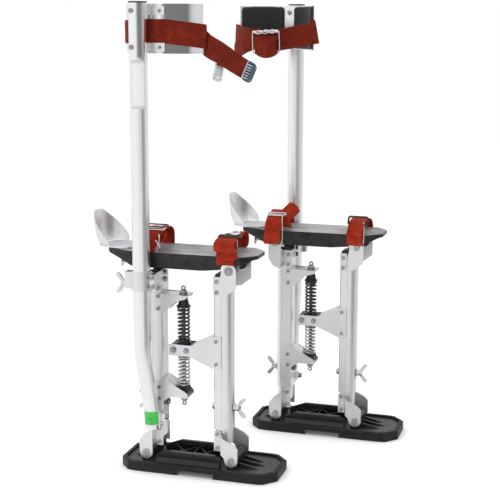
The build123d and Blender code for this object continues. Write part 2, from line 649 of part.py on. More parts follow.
def heel_cup(turn_sign):
    """Ribbed base, dished back wall and stud, turned slightly on the stud."""
    base = prism_z(CUP_BASE, 457.9, 460.9)
    for y in (-24, -12, 0, 12, 24):
        base = base + block(-92, -34, y - 1.5, y + 1.5, 460.8, 462.2)
    section = polygon_face([(CUP_X + radius, 0, z) for radius, z in CUP_WALL])
    wall = revolve(section, axis=Axis((CUP_X, 0, 0), (0, 0, 1)), revolution_arc=360)
    cup = base + (wall & prism_y(CUP_KEEP, -80, 80))
    cup = cup + rod_z(STUD_X, 0, 4.0, 424, 459.0)
    cup = cut(cup, [rod_z(-84, y, 2.2, 450, 470) for y in (-12, 12)])
    return solids_of(turn_about(STUD_X, 0, turn_sign * CUP_YAW) * cup)


def heel_cup_wing_nut():
    nut = rod_z(STUD_X, 0, 9.5, 450.5, 452.3) + rod_z(STUD_X, 0, 7.0, 424.0, 450.6)
    for side in SIDES:
        nut = nut + prism_x([(side * y, z) for y, z in NUT_WING], STUD_X - 1.6, STUD_X + 1.6)
    return solids_of(nut - rod_z(STUD_X, 0, 4.05, 400, 460))


# ---------------------------------------------------------------- foot straps
# heel strap then toe strap: x range, z of the inner end, outer end and crown
FOOT_STRAPS = {"right": ((-2, 36, 433.0, 444.0, 500), (158, 197, 433.0, 441.0, 495)),
               "left": ((-25, 17, 426.5, 444.0, 496), (161, 198, 433.0, 441.0, 490))}
# heel buckle then toe buckle: x, y, z and tilt about X in degrees
FOOT_BUCKLES = {"right": ((20, -20, 504.5, 4), (177, -26, 499.8, 4)),
                "left": ((-4, 36, 498.3, -14), (184, 42, 494.2, -34))}
STRAP_T = 2.6
ARCH_Z = 464                   # where the straight sides turn into the arch


def strap_curve(inner_z, outer_z, crown_z, offset):
    """Points (y, z) over the foot from the outer to the inner end."""
    half_w = PLATE_HALF_W + 3.0 + offset
    rise = crown_z - ARCH_Z + offset
    points = [(-half_w, outer_z), (-half_w, ARCH_Z)]
    steps = 16
    for i in range(1, steps):
        angle = math.pi * i / steps
        cosine = math.cos(angle)
        points.append((-half_w * (abs(cosine) ** 0.8) * (1 if cosine > 0 else -1),
                       ARCH_Z + rise * (math.sin(angle) ** 0.8)))
    return points + [(half_w, ARCH_Z), (half_w, inner_z)]


def foot_strap(x0, x1, *heights):
    lower, upper = strap_curve(*heights, 0), strap_curve(*heights, STRAP_T)
    return prism_x(lower + upper[::-1], x0, x1)


def foot_straps(stilt):
    heel, toe = [foot_strap(*row) for row in FOOT_STRAPS[stilt]]
    # the heel strap is thinned on its outer side
    heel = heel - block(-60, 60, -120, -58.9, 400, 480)
    return solids_of(heel, toe)


def foot_buckles(stilt):
    return solids_of(*[Pos(x, y, z) * Rot(tilt, 0, 0) * (Box(46, 22, 2.6) - Box(39, 15, 4))
                       for x, y, z, tilt in FOOT_BUCKLES[stilt]])


# ---------------------------------------------------------------- calf cuff
# drawn opening straight inward (+Y), then turned about the leg tube
CUFF_R = 130.0
CUFF_GAP = 22.0                # tube axis to the band's outer face
CUFF_Z = (846.0, 939.0)
CUFF_HALF = 52.0               # degrees either side
CUFF_YAW = 23.0
CUFF_X, CUFF_Y = TUBE_X, TUBE_Y + CUFF_GAP + CUFF_R
BAND_T = 2.0
BRACKET_T = 3.0
BRACKETS_Z = ((918.0, 934.0), (850.0, 866.0))
STRAP_Z = (869.0, 914.0)
STRAP_OUT_R = CUFF_R + 3.2


def cuff_point(radius, degrees):
    """Point about the cuff's centre, the angle measured from the direction of the tube."""
    angle = math.radians(degrees)
    return CUFF_X + radius * math.sin(angle), CUFF_Y - radius * math.cos(angle)


def arc_band(inner_r, outer_r, half_angle, z0, z1):
    def at(radius, degrees):
        return (*cuff_point(radius, degrees), z0)
    edges = [ThreePointArc(*[at(outer_r, a) for a in (-half_angle, 0, half_angle)]),
             Line(at(outer_r, half_angle), at(inner_r, half_angle)),
             ThreePointArc(*[at(inner_r, a) for a in (half_angle, 0, -half_angle)]),
             Line(at(inner_r, -half_angle), at(outer_r, -half_angle))]
    return extrude(make_face(edges), amount=z1 - z0, dir=(0, 0, 1))


def calf_band():
    """Band with two saddle brackets, and a screw head and two rivets at each."""
    tube_space = leg_rod(TUBE_R + 0.1, 800, 960)
    band = arc_band(CUFF_R - BAND_T, CUFF_R, CUFF_HALF, *CUFF_Z)
    brackets = []
    for z0, z1 in BRACKETS_Z:
        saddle = block(TUBE_X - 11, TUBE_X + 11, TUBE_Y + 8, TUBE_Y + CUFF_GAP - 2.5, z0, z1)
        brackets.append(arc_band(CUFF_R, CUFF_R + BRACKET_T, 19.5, z0, z1)
                        + (saddle - tube_space))
    cuff = band + fuse(brackets)
    pieces = [cuff]
    tube_face = TUBE_Y - TUBE_R
    for z0, z1 in BRACKETS_Z:
        z = (z0 + z1) / 2
        head = rod_y(TUBE_X, z, 5.0, tube_face - 2.6, tube_face + 3) - tube_space
        pieces.append(head - rod_y(TUBE_X, z, 1.6, tube_face - 3, tube_face - 1.4))
        for degrees in (-15, 15):
            x, y = cuff_point(CUFF_R + BRACKET_T, degrees)
            pieces.append(Pos(x, y, z) * Rot(90, 0, degrees) * Cylinder(3.2, 2.4) - cuff)
    return solids_of(*pieces)


def calf_pad():
    return solids_of(arc_band(CUFF_R - 9.0, CUFF_R - 2.2, CUFF_HALF - 1.2,
                              CUFF_Z[0] + 2, CUFF_Z[1] - 2))


def hanging_end(strap):
    """Loose strap end hanging off the +X end of the band, with two end pieces."""
    x, y = cuff_point(CUFF_R + 2, CUFF_HALF + 2.0)
    droop = Pos(x + 2, y + 2, 864) * Rot(0, 0, 13) * Rot(0, 27.5, 0)
    tail = droop * Pos(42, 0, 0) * Box(104, 3.0, 42)
    tail = tail - block(-200, x + 1.5, -200, 300, 700, 1000)
    buckle = droop * Pos(104.5, 0, 0) * Box(20, 4.0, 48)
    tip = Pos(x + 32, y + 17, 826) * Rot(0, 10, 0) * Box(20, 2.4, 40)
    return solids_of(tail - strap, buckle, tip)


def closed_front(strap):
    """Strap bulging across the cuff's opening, with a bar on it."""
    end_x, end_y = cuff_point(STRAP_OUT_R, CUFF_HALF + 2.4)
    half_span = end_x - CUFF_X
    steps = 20

    def curve(offset):
        return [(end_x - 2 * half_span * (1 - i / steps),
                 end_y + 4 + (62 + offset) * math.sin(math.pi * i / steps) + offset)
                for i in range(steps + 1)]
    front = prism_z(curve(0) + curve(2.5)[::-1], STRAP_Z[0] - 4, STRAP_Z[1] - 4)
    bar = Pos(CUFF_X - 8, end_y + 72.6, 0) * block(-24, 24, 0, 3.4,
                                                   STRAP_Z[0] - 9, STRAP_Z[1] + 1)
    return solids_of(front - strap, bar)


def calf_strap(stilt):
    """Strap behind the band: its end hangs on the right stilt, closes on the left."""
    strap = arc_band(CUFF_R + 0.7, STRAP_OUT_R, CUFF_HALF + 2.0, *STRAP_Z)
    finish = hanging_end if stilt == "right" else closed_front
    return solids_of(strap) + finish(strap)


# ---------------------------------------------------------------- one stilt
def build_stilt(stilt):
    """All pieces of one stilt in its local frame, as lists of solids by name."""
    # after mirroring, cups and cuffs of both stilts turn clockwise seen from above
    turn_sign = 1 if stilt == "left" else -1
    pieces = {"sole": sole(), "floor_plate": floor_plate()}
    struts = {}
    for end, section in (("heel", HEEL_SECTION), ("toe", TOE_SECTION)):
        pieces[end + "_ankle_plates"], extension = ankle_plates(
            ANKLE_JOINTS[end], extension_tube(section))
        pieces[end + "_extension"] = solids_of(extension)
        pieces[end + "_pivot_plates"], struts[end] = foot_pivot_plates(
            FOOT_JOINTS[end], strut_tube(section))
        pieces[end + "_wing_bolt"] = lock_bolt(section)

    pieces["spring_brackets"], bracket_bolts = spring_brackets()
    pieces["spring_rod"] = spring_rod()
    pieces["upper_spring"] = spring(263.5, 337.1, mean_r=11.35, wire_r=2.15, pitch=8.6)
    pieces["lower_spring"] = spring(169.9, 235.5, mean_r=11.2, wire_r=1.75, pitch=7.0)
    pieces["pivot_block"] = pivot_block()
    pieces["spring_yoke"], yoke_bolts = spring_yoke()

    pieces["lower_leg_tube"] = lower_leg_tube()
    pieces["tube_clamp"], arm_bolts = tube_clamp()
    pieces["clamp_wing_bolt"] = clamp_wing_bolt()
    pieces["heel_strut"] = solids_of(cut(struts["heel"], bracket_bolts + arm_bolts))
    pieces["toe_strut"] = solids_of(cut(struts["toe"], yoke_bolts))
    pieces["upper_leg_tube"] = upper_leg_tube()

    pieces["footplate"] = footplate()
    pieces["heel_cup"] = heel_cup(turn_sign)
    pieces["heel_cup_wing_nut"] = heel_cup_wing_nut()
    pieces["foot_straps"] = foot_straps(stilt)
    pieces["foot_buckles"] = foot_buckles(stilt)

    turn = turn_about(TUBE_X, TUBE_Y, turn_sign * CUFF_YAW)
    pieces["calf_band"] = [turn * solid for solid in calf_band()]
    pieces["calf_pad"] = [turn * solid for solid in calf_pad()]
    pieces["calf_strap"] = [turn * solid for solid in calf_strap(stilt)]
    return pieces


os.makedirs("parts", exist_ok=True)
for stilt, (place_x, place_y) in STILT_PLACES.items():
    for name, solids in build_stilt(stilt).items():
        if stilt == "left":
            solids = [solid.mirror(Plane.XZ) for solid in solids]
        placed = Compound([Pos(place_x, place_y, 0) * solid for solid in solids])
        export_step(placed, os.path.join("parts", stilt + "_" + name + ".step"))
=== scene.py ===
"""Looks of a pair of drywall stilts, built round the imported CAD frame."""
import bpy
import bmesh
import math
import numpy as np
from mathutils import Vector, Matrix, noise


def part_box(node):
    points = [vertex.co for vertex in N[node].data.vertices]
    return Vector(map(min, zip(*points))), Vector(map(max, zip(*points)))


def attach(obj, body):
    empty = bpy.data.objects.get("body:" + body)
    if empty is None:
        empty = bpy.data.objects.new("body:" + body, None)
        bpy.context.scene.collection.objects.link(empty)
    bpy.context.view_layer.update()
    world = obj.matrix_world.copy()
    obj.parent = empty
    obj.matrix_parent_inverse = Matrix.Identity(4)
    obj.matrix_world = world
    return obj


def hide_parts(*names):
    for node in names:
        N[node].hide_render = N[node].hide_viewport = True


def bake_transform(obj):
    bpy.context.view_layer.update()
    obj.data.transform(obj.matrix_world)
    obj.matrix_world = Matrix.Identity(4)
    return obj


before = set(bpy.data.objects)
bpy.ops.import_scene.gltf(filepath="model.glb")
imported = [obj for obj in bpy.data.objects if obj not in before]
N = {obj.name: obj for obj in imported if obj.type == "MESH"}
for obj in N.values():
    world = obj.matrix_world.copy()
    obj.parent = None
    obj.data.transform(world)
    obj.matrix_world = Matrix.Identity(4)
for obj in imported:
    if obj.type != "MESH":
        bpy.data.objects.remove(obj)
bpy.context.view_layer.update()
SC = bpy.context.scene
MM = 0.001
rad = math.radians


# ------------------------------------------------------------------ placing
class Side:
    """Local millimetres of one stilt to the pair's frame in metres."""

    def __init__(self, name):
        self.name = name
        self.sg = 1.0 if name == "right" else -1.0
        lo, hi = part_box(name + "_upper_leg_tube")
        self.ox = (lo.x + hi.x) / 2 - 10.5 * MM
        self.oy = (lo.y + hi.y) / 2 + self.sg * 77.0 * MM

    def p(self, x, y, z):
        return Vector((self.ox + x * MM, self.oy + self.sg * y * MM, z * MM))

    def d(self, x, y, z):
        return Vector((x, self.sg * y, z))

    def inv(self, v):
        return ((v[0] - self.ox) / MM, (v[1] - self.oy) / MM * self.sg, v[2] / MM)

    def cuff(self, r, ang, z):
        """Point on the cuff: r from its centre, ang degrees from the tube side, z height."""
        a = rad(ang)
        return self.cq(10.5 + r * math.sin(a), -77.0 + 22.0 + 130.0 - r * math.cos(a), z)

    def cq(self, x, y, z):
        """Point given in the cuff's own axes, before the cuff is turned about its tube."""
        t = rad(23.0 if self.name == "left" else -23.0)
        dx, dy = x - 10.5, y + 77.0
        return self.p(10.5 + dx * math.cos(t) - dy * math.sin(t), -77.0 + dx * math.sin(t) + dy * math.cos(t), z)

    def cd(self, x, y, z):
        """Direction in the cuff's own axes."""
        return self.cq(10.5 + x, -77.0 + y, z * 1.0) - self.cq(10.5, -77.0, 0.0)


RIGHT, LEFT = Side("right"), Side("left")


# ------------------------------------------------------------------ material kit
class Mat:
    def __init__(self, name):
        self.m = bpy.data.materials.new(name)
        self.m.use_nodes = True
        self.t = self.m.node_tree
        self.t.nodes.clear()
        self.out = self.t.nodes.new("ShaderNodeOutputMaterial")
        self.b = self.t.nodes.new("ShaderNodeBsdfPrincipled")
        self.t.links.new(self.b.outputs[0], self.out.inputs[0])
        self._tc = None

    def n(self, kind, props=None, **ins):
        x = self.t.nodes.new("ShaderNode" + kind)
        for k, v in (props or {}).items():
            setattr(x, k, v)
        for k, v in ins.items():
            k = k.replace("_", " ")
            s = x.inputs[int(k[1:])] if k[0] == "i" and k[1:].isdigit() else x.inputs[k]
            self.put(s, v)
        return x

    def put(self, s, v):
        if isinstance(v, bpy.types.NodeSocket):
            self.t.links.new(v, s)
        else:
            if hasattr(s.default_value, "__len__") and not hasattr(v, "__len__"):
                v = [v] * len(s.default_value)
            if hasattr(v, "__len__") and len(v) == 3 and len(s.default_value) == 4:
                v = (*v, 1.0)
            s.default_value = v

    def set(self, **ins):
        for k, v in ins.items():
            self.put(self.b.inputs[k.replace("_", " ")], v)

    def co(self, scale=(1, 1, 1), kind="Object", rot=(0, 0, 0)):
        if self._tc is None:
            self._tc = self.t.nodes.new("ShaderNodeTexCoord")
        mp = self.n("Mapping", Vector=self._tc.outputs[kind])
        mp.inputs["Scale"].default_value = scale
        mp.inputs["Rotation"].default_value = rot
        return mp.outputs[0]

    def noise(self, scale, detail=3.0, rough=0.5, co=None, kind="Object", dist=0.0):
        x = self.n("TexNoise", Scale=scale, Detail=detail, Roughness=rough, Distortion=dist,
                   Vector=co if co is not None else self.co(kind=kind))
        return x.outputs["Fac"]

    def ramp(self, fac, stops):
        x = self.n("ValToRGB", Fac=fac)
        el = x.color_ramp.elements
        while len(el) < len(stops):
            el.new(0.5)
        for e, (pos, col) in zip(el, stops):
            e.position = pos
            e.color = (*col, 1.0) if len(col) == 3 else col
        return x.outputs["Color"]

    def rng(self, fac, a, b, lo, hi):
        x = self.n("MapRange", Value=fac)
        x.inputs["From Min"].default_value = a
        x.inputs["From Max"].default_value = b
        x.inputs["To Min"].default_value = lo
        x.inputs["To Max"].default_value = hi
        return x.outputs["Result"]

    def math(self, op, a, b=0.0, c=None, clamp=False):
        x = self.n("Math", {"operation": op, "use_clamp": clamp})
        self.put(x.inputs[0], a)
        self.put(x.inputs[1], b)
        if c is not None:
            self.put(x.inputs[2], c)
        return x.outputs[0]

    def mix(self, fac, a, b, mode="MIX"):
        x = self.n("Mix", {"data_type": "RGBA", "blend_type": mode})
        self.put(x.inputs[0], fac)
        self.put(x.inputs[6], a)
        self.put(x.inputs[7], b)
        return x.outputs[2]

    def bump(self, height, strength=0.3, dist=0.0005, normal=None):
        x = self.n("Bump", Height=height, Strength=strength, Distance=dist)
        if normal is not None:
            self.t.links.new(normal, x.inputs["Normal"])
        return x.outputs[0]

    def edge(self, lo=0.52, hi=0.62):
        g = self.t.nodes.new("ShaderNodeNewGeometry")
        return self.rng(g.outputs["Pointiness"], lo, hi, 0.0, 1.0)


def m_aluminium(name, tone, rough, stretch=(1, 1, 0.02), metallic=1.0, brushed=0.25, wear=0.5, amp=1.0, shade=None):
    k = Mat(name)
    fine = k.noise(1400.0, 2.0, 0.6, k.co(stretch))
    mid = k.noise(55.0, 4.0, 0.6, k.co((1, 1, 0.35)))
    big = k.noise(9.0, 3.0)
    v = k.math("ADD", k.rng(fine, 0.3, 0.7, -0.03, 0.03), k.rng(big, 0.3, 0.7, -0.045, 0.035))
    v = k.math("ADD", v, k.rng(mid, 0.35, 0.7, 0.015, -0.03))
    v = k.math("MULTIPLY", v, amp)
    c0 = k.mix(k.math("ADD", v, 0.86), tuple(t * 0.62 for t in tone), tuple(min(1.0, t * 1.06) for t in tone))
    dirt = k.noise(160.0, 3.0, 0.7)
    spot = k.rng(dirt, 0.66, 0.74, 0.0, 0.28 * wear)
    col = k.mix(spot, c0, tuple(t * 0.6 for t in tone))
    # painted reflection: where the normal points into the given compass range and sits above the given height, the
    # base colour is darkened towards near black, standing in for a dark part of the room mirrored in the metal
    if shade:
        g = k.t.nodes.new("ShaderNodeNewGeometry")
        sep = k.n("SeparateXYZ", Vector=g.outputs["Normal"])
        ang = k.math("ARCTAN2", sep.outputs["Y"], sep.outputs["X"])
        lo, hi, soft, zmin, dark = shade
        m_ = k.math("MULTIPLY", k.rng(ang, rad(lo - soft), rad(lo + soft), 0.0, 1.0), k.rng(ang, rad(hi - soft), rad(hi + soft), 1.0, 0.0))
        pz = k.n("SeparateXYZ", Vector=g.outputs["Position"])
        m_ = k.math("MULTIPLY", m_, k.rng(pz.outputs["Z"], zmin - 0.003, zmin + 0.003, 0.0, 1.0))
        col = k.mix(k.math("MULTIPLY", m_, dark), col, (0.05, 0.05, 0.053))
    k.set(Base_Color=col, Metallic=metallic)
    r = k.math("ADD", k.rng(fine, 0.3, 0.7, rough - 0.05, rough + 0.06), k.rng(mid, 0.4, 0.7, 0.0, 0.07), clamp=True)
    k.set(Roughness=r, Normal=k.bump(fine, brushed, 0.00015))
    return k.m


def m_black(name, tone, rough, grain=900.0, bump=0.25, edge_wear_highlight_col=(0.10, 0.10, 0.105), dust_sheen_amount=0.25, coat=0.0, grain_d=0.0002, dust_sheen_col=(0.11, 0.108, 0.104), spec=0.5):
    k = Mat(name)
    g = k.noise(grain, 3.0, 0.6)
    mid = k.noise(70.0, 4.0, 0.6)
    big = k.noise(14.0, 3.0, 0.6)
    base = k.mix(k.rng(mid, 0.3, 0.7, 0.0, 1.0), tuple(t * 0.8 for t in tone), tuple(t * 1.25 for t in tone))
    up = k.t.nodes.new("ShaderNodeNewGeometry")
    sep = k.n("SeparateXYZ", Vector=up.outputs["Normal"])
    flat = k.rng(sep.outputs["Z"], 0.6, 1.0, 0.0, 1.0)
    # up-facing faces lighten towards a pale colour by noise: dust, and where it is strong, a painted sheen
    dust_sheen_mask = k.math("MULTIPLY", k.math("MULTIPLY", flat, k.rng(big, 0.30, 0.60, 0.35 if dust_sheen_amount > 0.5 else 0.1, 1.0)), dust_sheen_amount)
    if dust_sheen_amount > 0.5:
        # painted sheen: the pale layer shows at a low viewing angle and almost vanishes from straight above, standing
        # in for a grazing reflection
        lw = k.t.nodes.new("ShaderNodeLayerWeight")
        lw.inputs["Blend"].default_value = 0.5
        dust_sheen_mask = k.math("MULTIPLY", dust_sheen_mask, k.rng(lw.outputs["Facing"], 0.15, 0.75, 0.16, 1.0))
    col = k.mix(dust_sheen_mask, base, dust_sheen_col)
    # edges lighten by pointiness: edge wear, and partly a painted highlight along rims
    edge_wear_and_highlight = k.math("MULTIPLY", k.edge(0.515, 0.60), k.rng(mid, 0.35, 0.65, 0.15, 0.9))
    col = k.mix(edge_wear_and_highlight, col, edge_wear_highlight_col)
    k.set(Base_Color=col, Metallic=0.0, Specular_IOR_Level=spec)
    k.set(Roughness=k.math("ADD", k.rng(g, 0.3, 0.7, rough - 0.05, rough + 0.05), k.math("MULTIPLY", dust_sheen_mask, 0.25), clamp=True))
    k.set(Normal=k.bump(g, bump, grain_d))
    if coat:
        k.set(Coat_Weight=coat, Coat_Roughness=0.25)
    return k.m


def m_zinc(name, tone=(0.74, 0.75, 0.77), rough=0.24):
    k = Mat(name)
    sp = k.n("TexVoronoi", Scale=260.0, Vector=k.co()).outputs["Distance"]
    nz = k.noise(700.0, 2.0)
    big = k.noise(90.0, 3.0)
    col = k.mix(k.rng(sp, 0.0, 0.8, 0.0, 1.0), tuple(t * 0.8 for t in tone), tuple(min(1, t * 1.1) for t in tone))
    col = k.mix(k.rng(big, 0.5, 0.75, 0.0, 0.5), col, tuple(t * 0.5 for t in tone))
    k.set(Base_Color=col, Metallic=1.0, Roughness=k.rng(nz, 0.3, 0.7, rough - 0.06, rough + 0.10),
          Normal=k.bump(nz, 0.15, 0.0001))
    return k.m


def m_webbing(name, col, dark, light, pitch=(0.0021, 0.0013)):
    """Woven strap: UV.x runs along the strap and UV.y across it, both in metres."""
    k = Mat(name)
    tc = k.t.nodes.new("ShaderNodeTexCoord")
    sep = k.n("SeparateXYZ", Vector=tc.outputs["UV"])
    u, v = sep.outputs["X"], sep.outputs["Y"]
    # herring-bone yarns: diagonal ribs that turn over every few millimetres
    tri = k.math("PINGPONG", v, 0.0036)
    a = k.math("SINE", k.math("MULTIPLY", k.math("ADD", u, k.math("MULTIPLY", tri, 0.55)), 2 * math.pi / pitch[0]))
    b = k.math("SINE", k.math("MULTIPLY", v, 2 * math.pi / pitch[1]))
    yarn = k.math("MULTIPLY", k.rng(a, -1, 1, 0.15, 1.0), k.rng(b, -1, 1, 0.45, 1.0))
    fuzz = k.noise(2600.0, 2.0, 0.7)
    h = k.math("ADD", yarn, k.math("MULTIPLY", fuzz, 0.35))
    cloth = k.noise(60.0, 4.0, 0.65)
    slow = k.noise(16.0, 2.0, 0.5)
    c = k.mix(k.rng(h, 0.25, 1.2, 0.0, 1.0), dark, col)
    c = k.mix(k.rng(cloth, 0.45, 0.75, 0.0, 0.55), c, light)
    c = k.mix(k.rng(slow, 0.42, 0.66, 0.0, 0.45), c, dark)
    # painted sheen: the lighter yarn colour is mixed in at grazing angles
    fr = k.t.nodes.new("ShaderNodeLayerWeight")
    fr.inputs["Blend"].default_value = 0.35
    c = k.mix(k.math("MULTIPLY", fr.outputs["Facing"], 0.25), c, light)
    k.set(Base_Color=c, Roughness=k.rng(h, 0.2, 1.2, 0.82, 0.62), Sheen_Weight=0.05, Sheen_Roughness=0.5,
          Specular_IOR_Level=0.14, Normal=k.bump(h, 0.55, 0.00035))
    k.b.inputs["Sheen Tint"].default_value = (*light, 1.0)
    return k.m


def m_foam(name):
    k = Mat(name)
    vor = k.n("TexVoronoi", Scale=900.0, Vector=k.co()).outputs["Distance"]
    nz = k.noise(1800.0, 3.0, 0.7)
    big = k.noise(22.0, 4.0, 0.6)
    h = k.math("ADD", k.math("MULTIPLY", vor, 0.7), k.math("MULTIPLY", nz, 0.4))
    c = k.mix(k.rng(big, 0.35, 0.7, 0.0, 1.0), (0.012, 0.012, 0.013), (0.024, 0.024, 0.026))
    c = k.mix(k.rng(nz, 0.6, 0.75, 0.0, 0.35), c, (0.05, 0.05, 0.052))
    k.set(Base_Color=c, Roughness=k.rng(big, 0.3, 0.7, 0.62, 0.78), Sheen_Weight=0.12, Specular_IOR_Level=0.35,
          Normal=k.bump(h, 0.35, 0.0004))
    return k.m


def m_label(name, col, edge_col):
    k = Mat(name)
    tc = k.t.nodes.new("ShaderNodeTexCoord")
    sep = k.n("SeparateXYZ", Vector=tc.outputs["UV"])
    u, v = sep.outputs["X"], sep.outputs["Y"]
    e = k.math("MINIMUM", k.math("MINIMUM", u, k.math("SUBTRACT", 1.0, u)), k.math("MINIMUM", v, k.math("SUBTRACT", 1.0, v)))
    rim = k.rng(e, 0.055, 0.07, 1.0, 0.0)
    nz = k.noise(120.0, 3.0)
    c = k.mix(k.rng(nz, 0.35, 0.7, 0.0, 1.0), tuple(x * 0.93 for x in col), col)
    c = k.mix(rim, c, edge_col)
    k.set(Base_Color=c, Roughness=k.rng(nz, 0.3, 0.7, 0.32, 0.42), Coat_Weight=0.4, Coat_Roughness=0.15,
          Normal=k.bump(k.noise(500.0, 2.0), 0.05, 0.0001))
    return k.m


ALU = (0.86, 0.865, 0.875)
M = {
    "alu": m_aluminium("satin_anodised_aluminium", ALU, 0.30, (1, 1, 0.02)),
    # both tube metals carry a painted dark reflection streak; the left stilt's copy has a weaker, softer painted
    # streak, a rougher surface and less tone variation
    "tube": m_aluminium("drawn_aluminium_tube", (0.95, 0.955, 0.962), 0.23, (1, 1, 0.015), brushed=0.05, wear=0.0, amp=0.35, shade=(-74.0, -47.0, 7.0, 0.838, 0.72)),
    "tube_l": m_aluminium("drawn_aluminium_tube_left", (0.95, 0.955, 0.962), 0.30, (1, 1, 0.015), brushed=0.05, wear=0.0, amp=0.25, shade=(-74.0, -47.0, 10.0, 0.838, 0.22)),
    "plate": m_aluminium("pressed_aluminium_plate", (0.83, 0.835, 0.845), 0.36, (1, 1, 1), brushed=0.18),
    "cup": m_aluminium("polished_cast_aluminium", (0.84, 0.845, 0.855), 0.31, (1, 0.06, 1), brushed=0.25, wear=0.8),
    # the band carries a painted dark reflection streak across part of its face
    "band": m_aluminium("rolled_aluminium_band", (0.90, 0.905, 0.912), 0.24, (0.04, 0.04, 1), brushed=0.05, wear=0.0, amp=0.4, shade=(-96.0, -72.0, 2.0, 0.5, 0.80)),
    "cast": m_black("cast_black_coat", (0.012, 0.012, 0.013), 0.36, 800.0, 0.35, (0.10, 0.10, 0.105), 0.12),
    "rubber": m_black("moulded_rubber", (0.010, 0.010, 0.011), 0.50, 1500.0, 0.4, (0.035, 0.035, 0.036), 0.10, spec=0.22),
    # the deck's grey on up-facing faces at low viewing angles is a painted sheen, standing in for a grazing reflection
    # of the bright room
    "deck": m_black("black_powder_coat", (0.006, 0.006, 0.007), 0.36, 1100.0, 0.18, (0.06, 0.06, 0.064), 0.95, dust_sheen_col=(0.60, 0.60, 0.605), spec=0.36),
    "plastic": m_black("black_plastic", (0.012, 0.012, 0.013), 0.32, 1400.0, 0.12, (0.03, 0.03, 0.03), 0.05),
    "block": m_black("black_nylon_block", (0.012, 0.012, 0.013), 0.38, 1300.0, 0.2, (0.04, 0.04, 0.04), 0.1),
    "zinc": m_zinc("bright_zinc_steel"),
    "bolt": m_zinc("zinc_fastener", (0.42, 0.43, 0.45), 0.30),
    "spring_b": m_black("black_spring_steel", (0.008, 0.008, 0.009), 0.20, 1500.0, 0.08, (0.05, 0.05, 0.05), 0.0, coat=0.6),
    "spring_z": m_zinc("bright_spring_steel", (0.70, 0.71, 0.73), 0.20),
    "brick": m_webbing("woven_brick_strap", (0.50, 0.037, 0.012), (0.20, 0.012, 0.005), (0.64, 0.070, 0.024)),
    "brown": m_webbing("woven_brown_strap", (0.255, 0.022, 0.006), (0.095, 0.008, 0.003), (0.33, 0.040, 0.013)),
    "foam": m_foam("black_foam_rubber"),
    "buckle": m_zinc("bright_wire_steel", (0.78, 0.79, 0.81), 0.16),
    "dark_steel": m_zinc("blued_clasp_steel", (0.10, 0.15, 0.20), 0.30),
    "white_label": m_label("plain_white_label", (0.86, 0.86, 0.85), (0.62, 0.62, 0.61)),
    "green_label": m_label("plain_green_label", (0.05, 0.62, 0.07), (0.80, 0.82, 0.80)),
    "thread": m_webbing("stitch_thread", (0.30, 0.035, 0.02), (0.16, 0.015, 0.01), (0.42, 0.08, 0.05)),
}


# ------------------------------------------------------------------ CAD nodes
def islands(me):
    """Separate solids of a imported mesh: an id per face, an id per vertex and each solid's box.
    Solids may touch along an edge, so the faces on an edge are paired in the order they are stored."""
    nv, nl, nf = len(me.vertices), len(me.loops), len(me.polygons)
    co = np.zeros(nv * 3, np.float32)
    me.vertices.foreach_get("co", co)
    co = co.reshape(-1, 3)
    key = np.round(co * 1e6 / 4).astype(np.int64)
    _, inv = np.unique(key, axis=0, return_inverse=True)
    inv = inv.reshape(-1)
    lv = np.zeros(nl, np.int32)
    me.loops.foreach_get("vertex_index", lv)
    st = np.zeros(nf, np.int32)
    me.polygons.foreach_get("loop_start", st)
    tot = np.zeros(nf, np.int32)
    me.polygons.foreach_get("loop_total", tot)
    par = list(range(nf))

    def find(a):
        while par[a] != a:
            par[a] = par[par[a]]
            a = par[a]
        return a
    edges = {}
    iv = inv[lv].tolist()
    for f in range(nf):
        s0, n_ = int(st[f]), int(tot[f])
        for i in range(n_):
            a, b = iv[s0 + i], iv[s0 + (i + 1) % n_]
            if a == b:
                continue
            edges.setdefault((a, b) if a < b else (b, a), []).append(f)
    for fs in edges.values():
        for i in range(0, len(fs) - 1, 2):
            a, b = find(fs[i]), find(fs[i + 1])
            if a != b:
                par[b] = a
    fr = np.array([find(f) for f in range(nf)])
    roots, fr = np.unique(fr, return_inverse=True)
    fr = fr.reshape(-1)
    vid = np.zeros(nv, np.int64)
    for f in range(nf):
        vid[lv[st[f]:st[f] + tot[f]]] = fr[f]
    boxes = {}
    for r in range(len(roots)):
        pts = co[vid == r]
        boxes[r] = (pts.min(0), pts.max(0))
    return fr, vid, boxes


def weld_tree():
    """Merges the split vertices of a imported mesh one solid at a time, by moving the solids apart while it works."""
    g = bpy.data.node_groups.new("weld_per_solid", "GeometryNodeTree")
    g.interface.new_socket("Geometry", in_out="INPUT", socket_type="NodeSocketGeometry")
    g.interface.new_socket("Geometry", in_out="OUTPUT", socket_type="NodeSocketGeometry")
    gi, go = g.nodes.new("NodeGroupInput"), g.nodes.new("NodeGroupOutput")
    at = g.nodes.new("GeometryNodeInputNamedAttribute")
    at.data_type = "FLOAT"
    at.inputs["Name"].default_value = "solid_id"
    val = [q for q in at.outputs if q.enabled and q.name == "Attribute"][0]
    neg = g.nodes.new("ShaderNodeMath")
    neg.operation = "MULTIPLY"
    neg.inputs[1].default_value = -1.0
    g.links.new(val, neg.inputs[0])
    last = gi.outputs[0]
    for k, src in enumerate((val, neg.outputs[0])):
        cx = g.nodes.new("ShaderNodeCombineXYZ")
        g.links.new(src, cx.inputs[0])
        sp_ = g.nodes.new("GeometryNodeSetPosition")
        g.links.new(last, sp_.inputs["Geometry"])
        g.links.new(cx.outputs[0], sp_.inputs["Offset"])
        last = sp_.outputs[0]
        if k == 0:
            mg = g.nodes.new("GeometryNodeMergeByDistance")
            mg.inputs["Distance"].default_value = 8e-6
            g.links.new(last, mg.inputs["Geometry"])
            last = mg.outputs[0]
    g.links.new(last, go.inputs[0])
    return g


WELD = weld_tree()
COUNT = {}


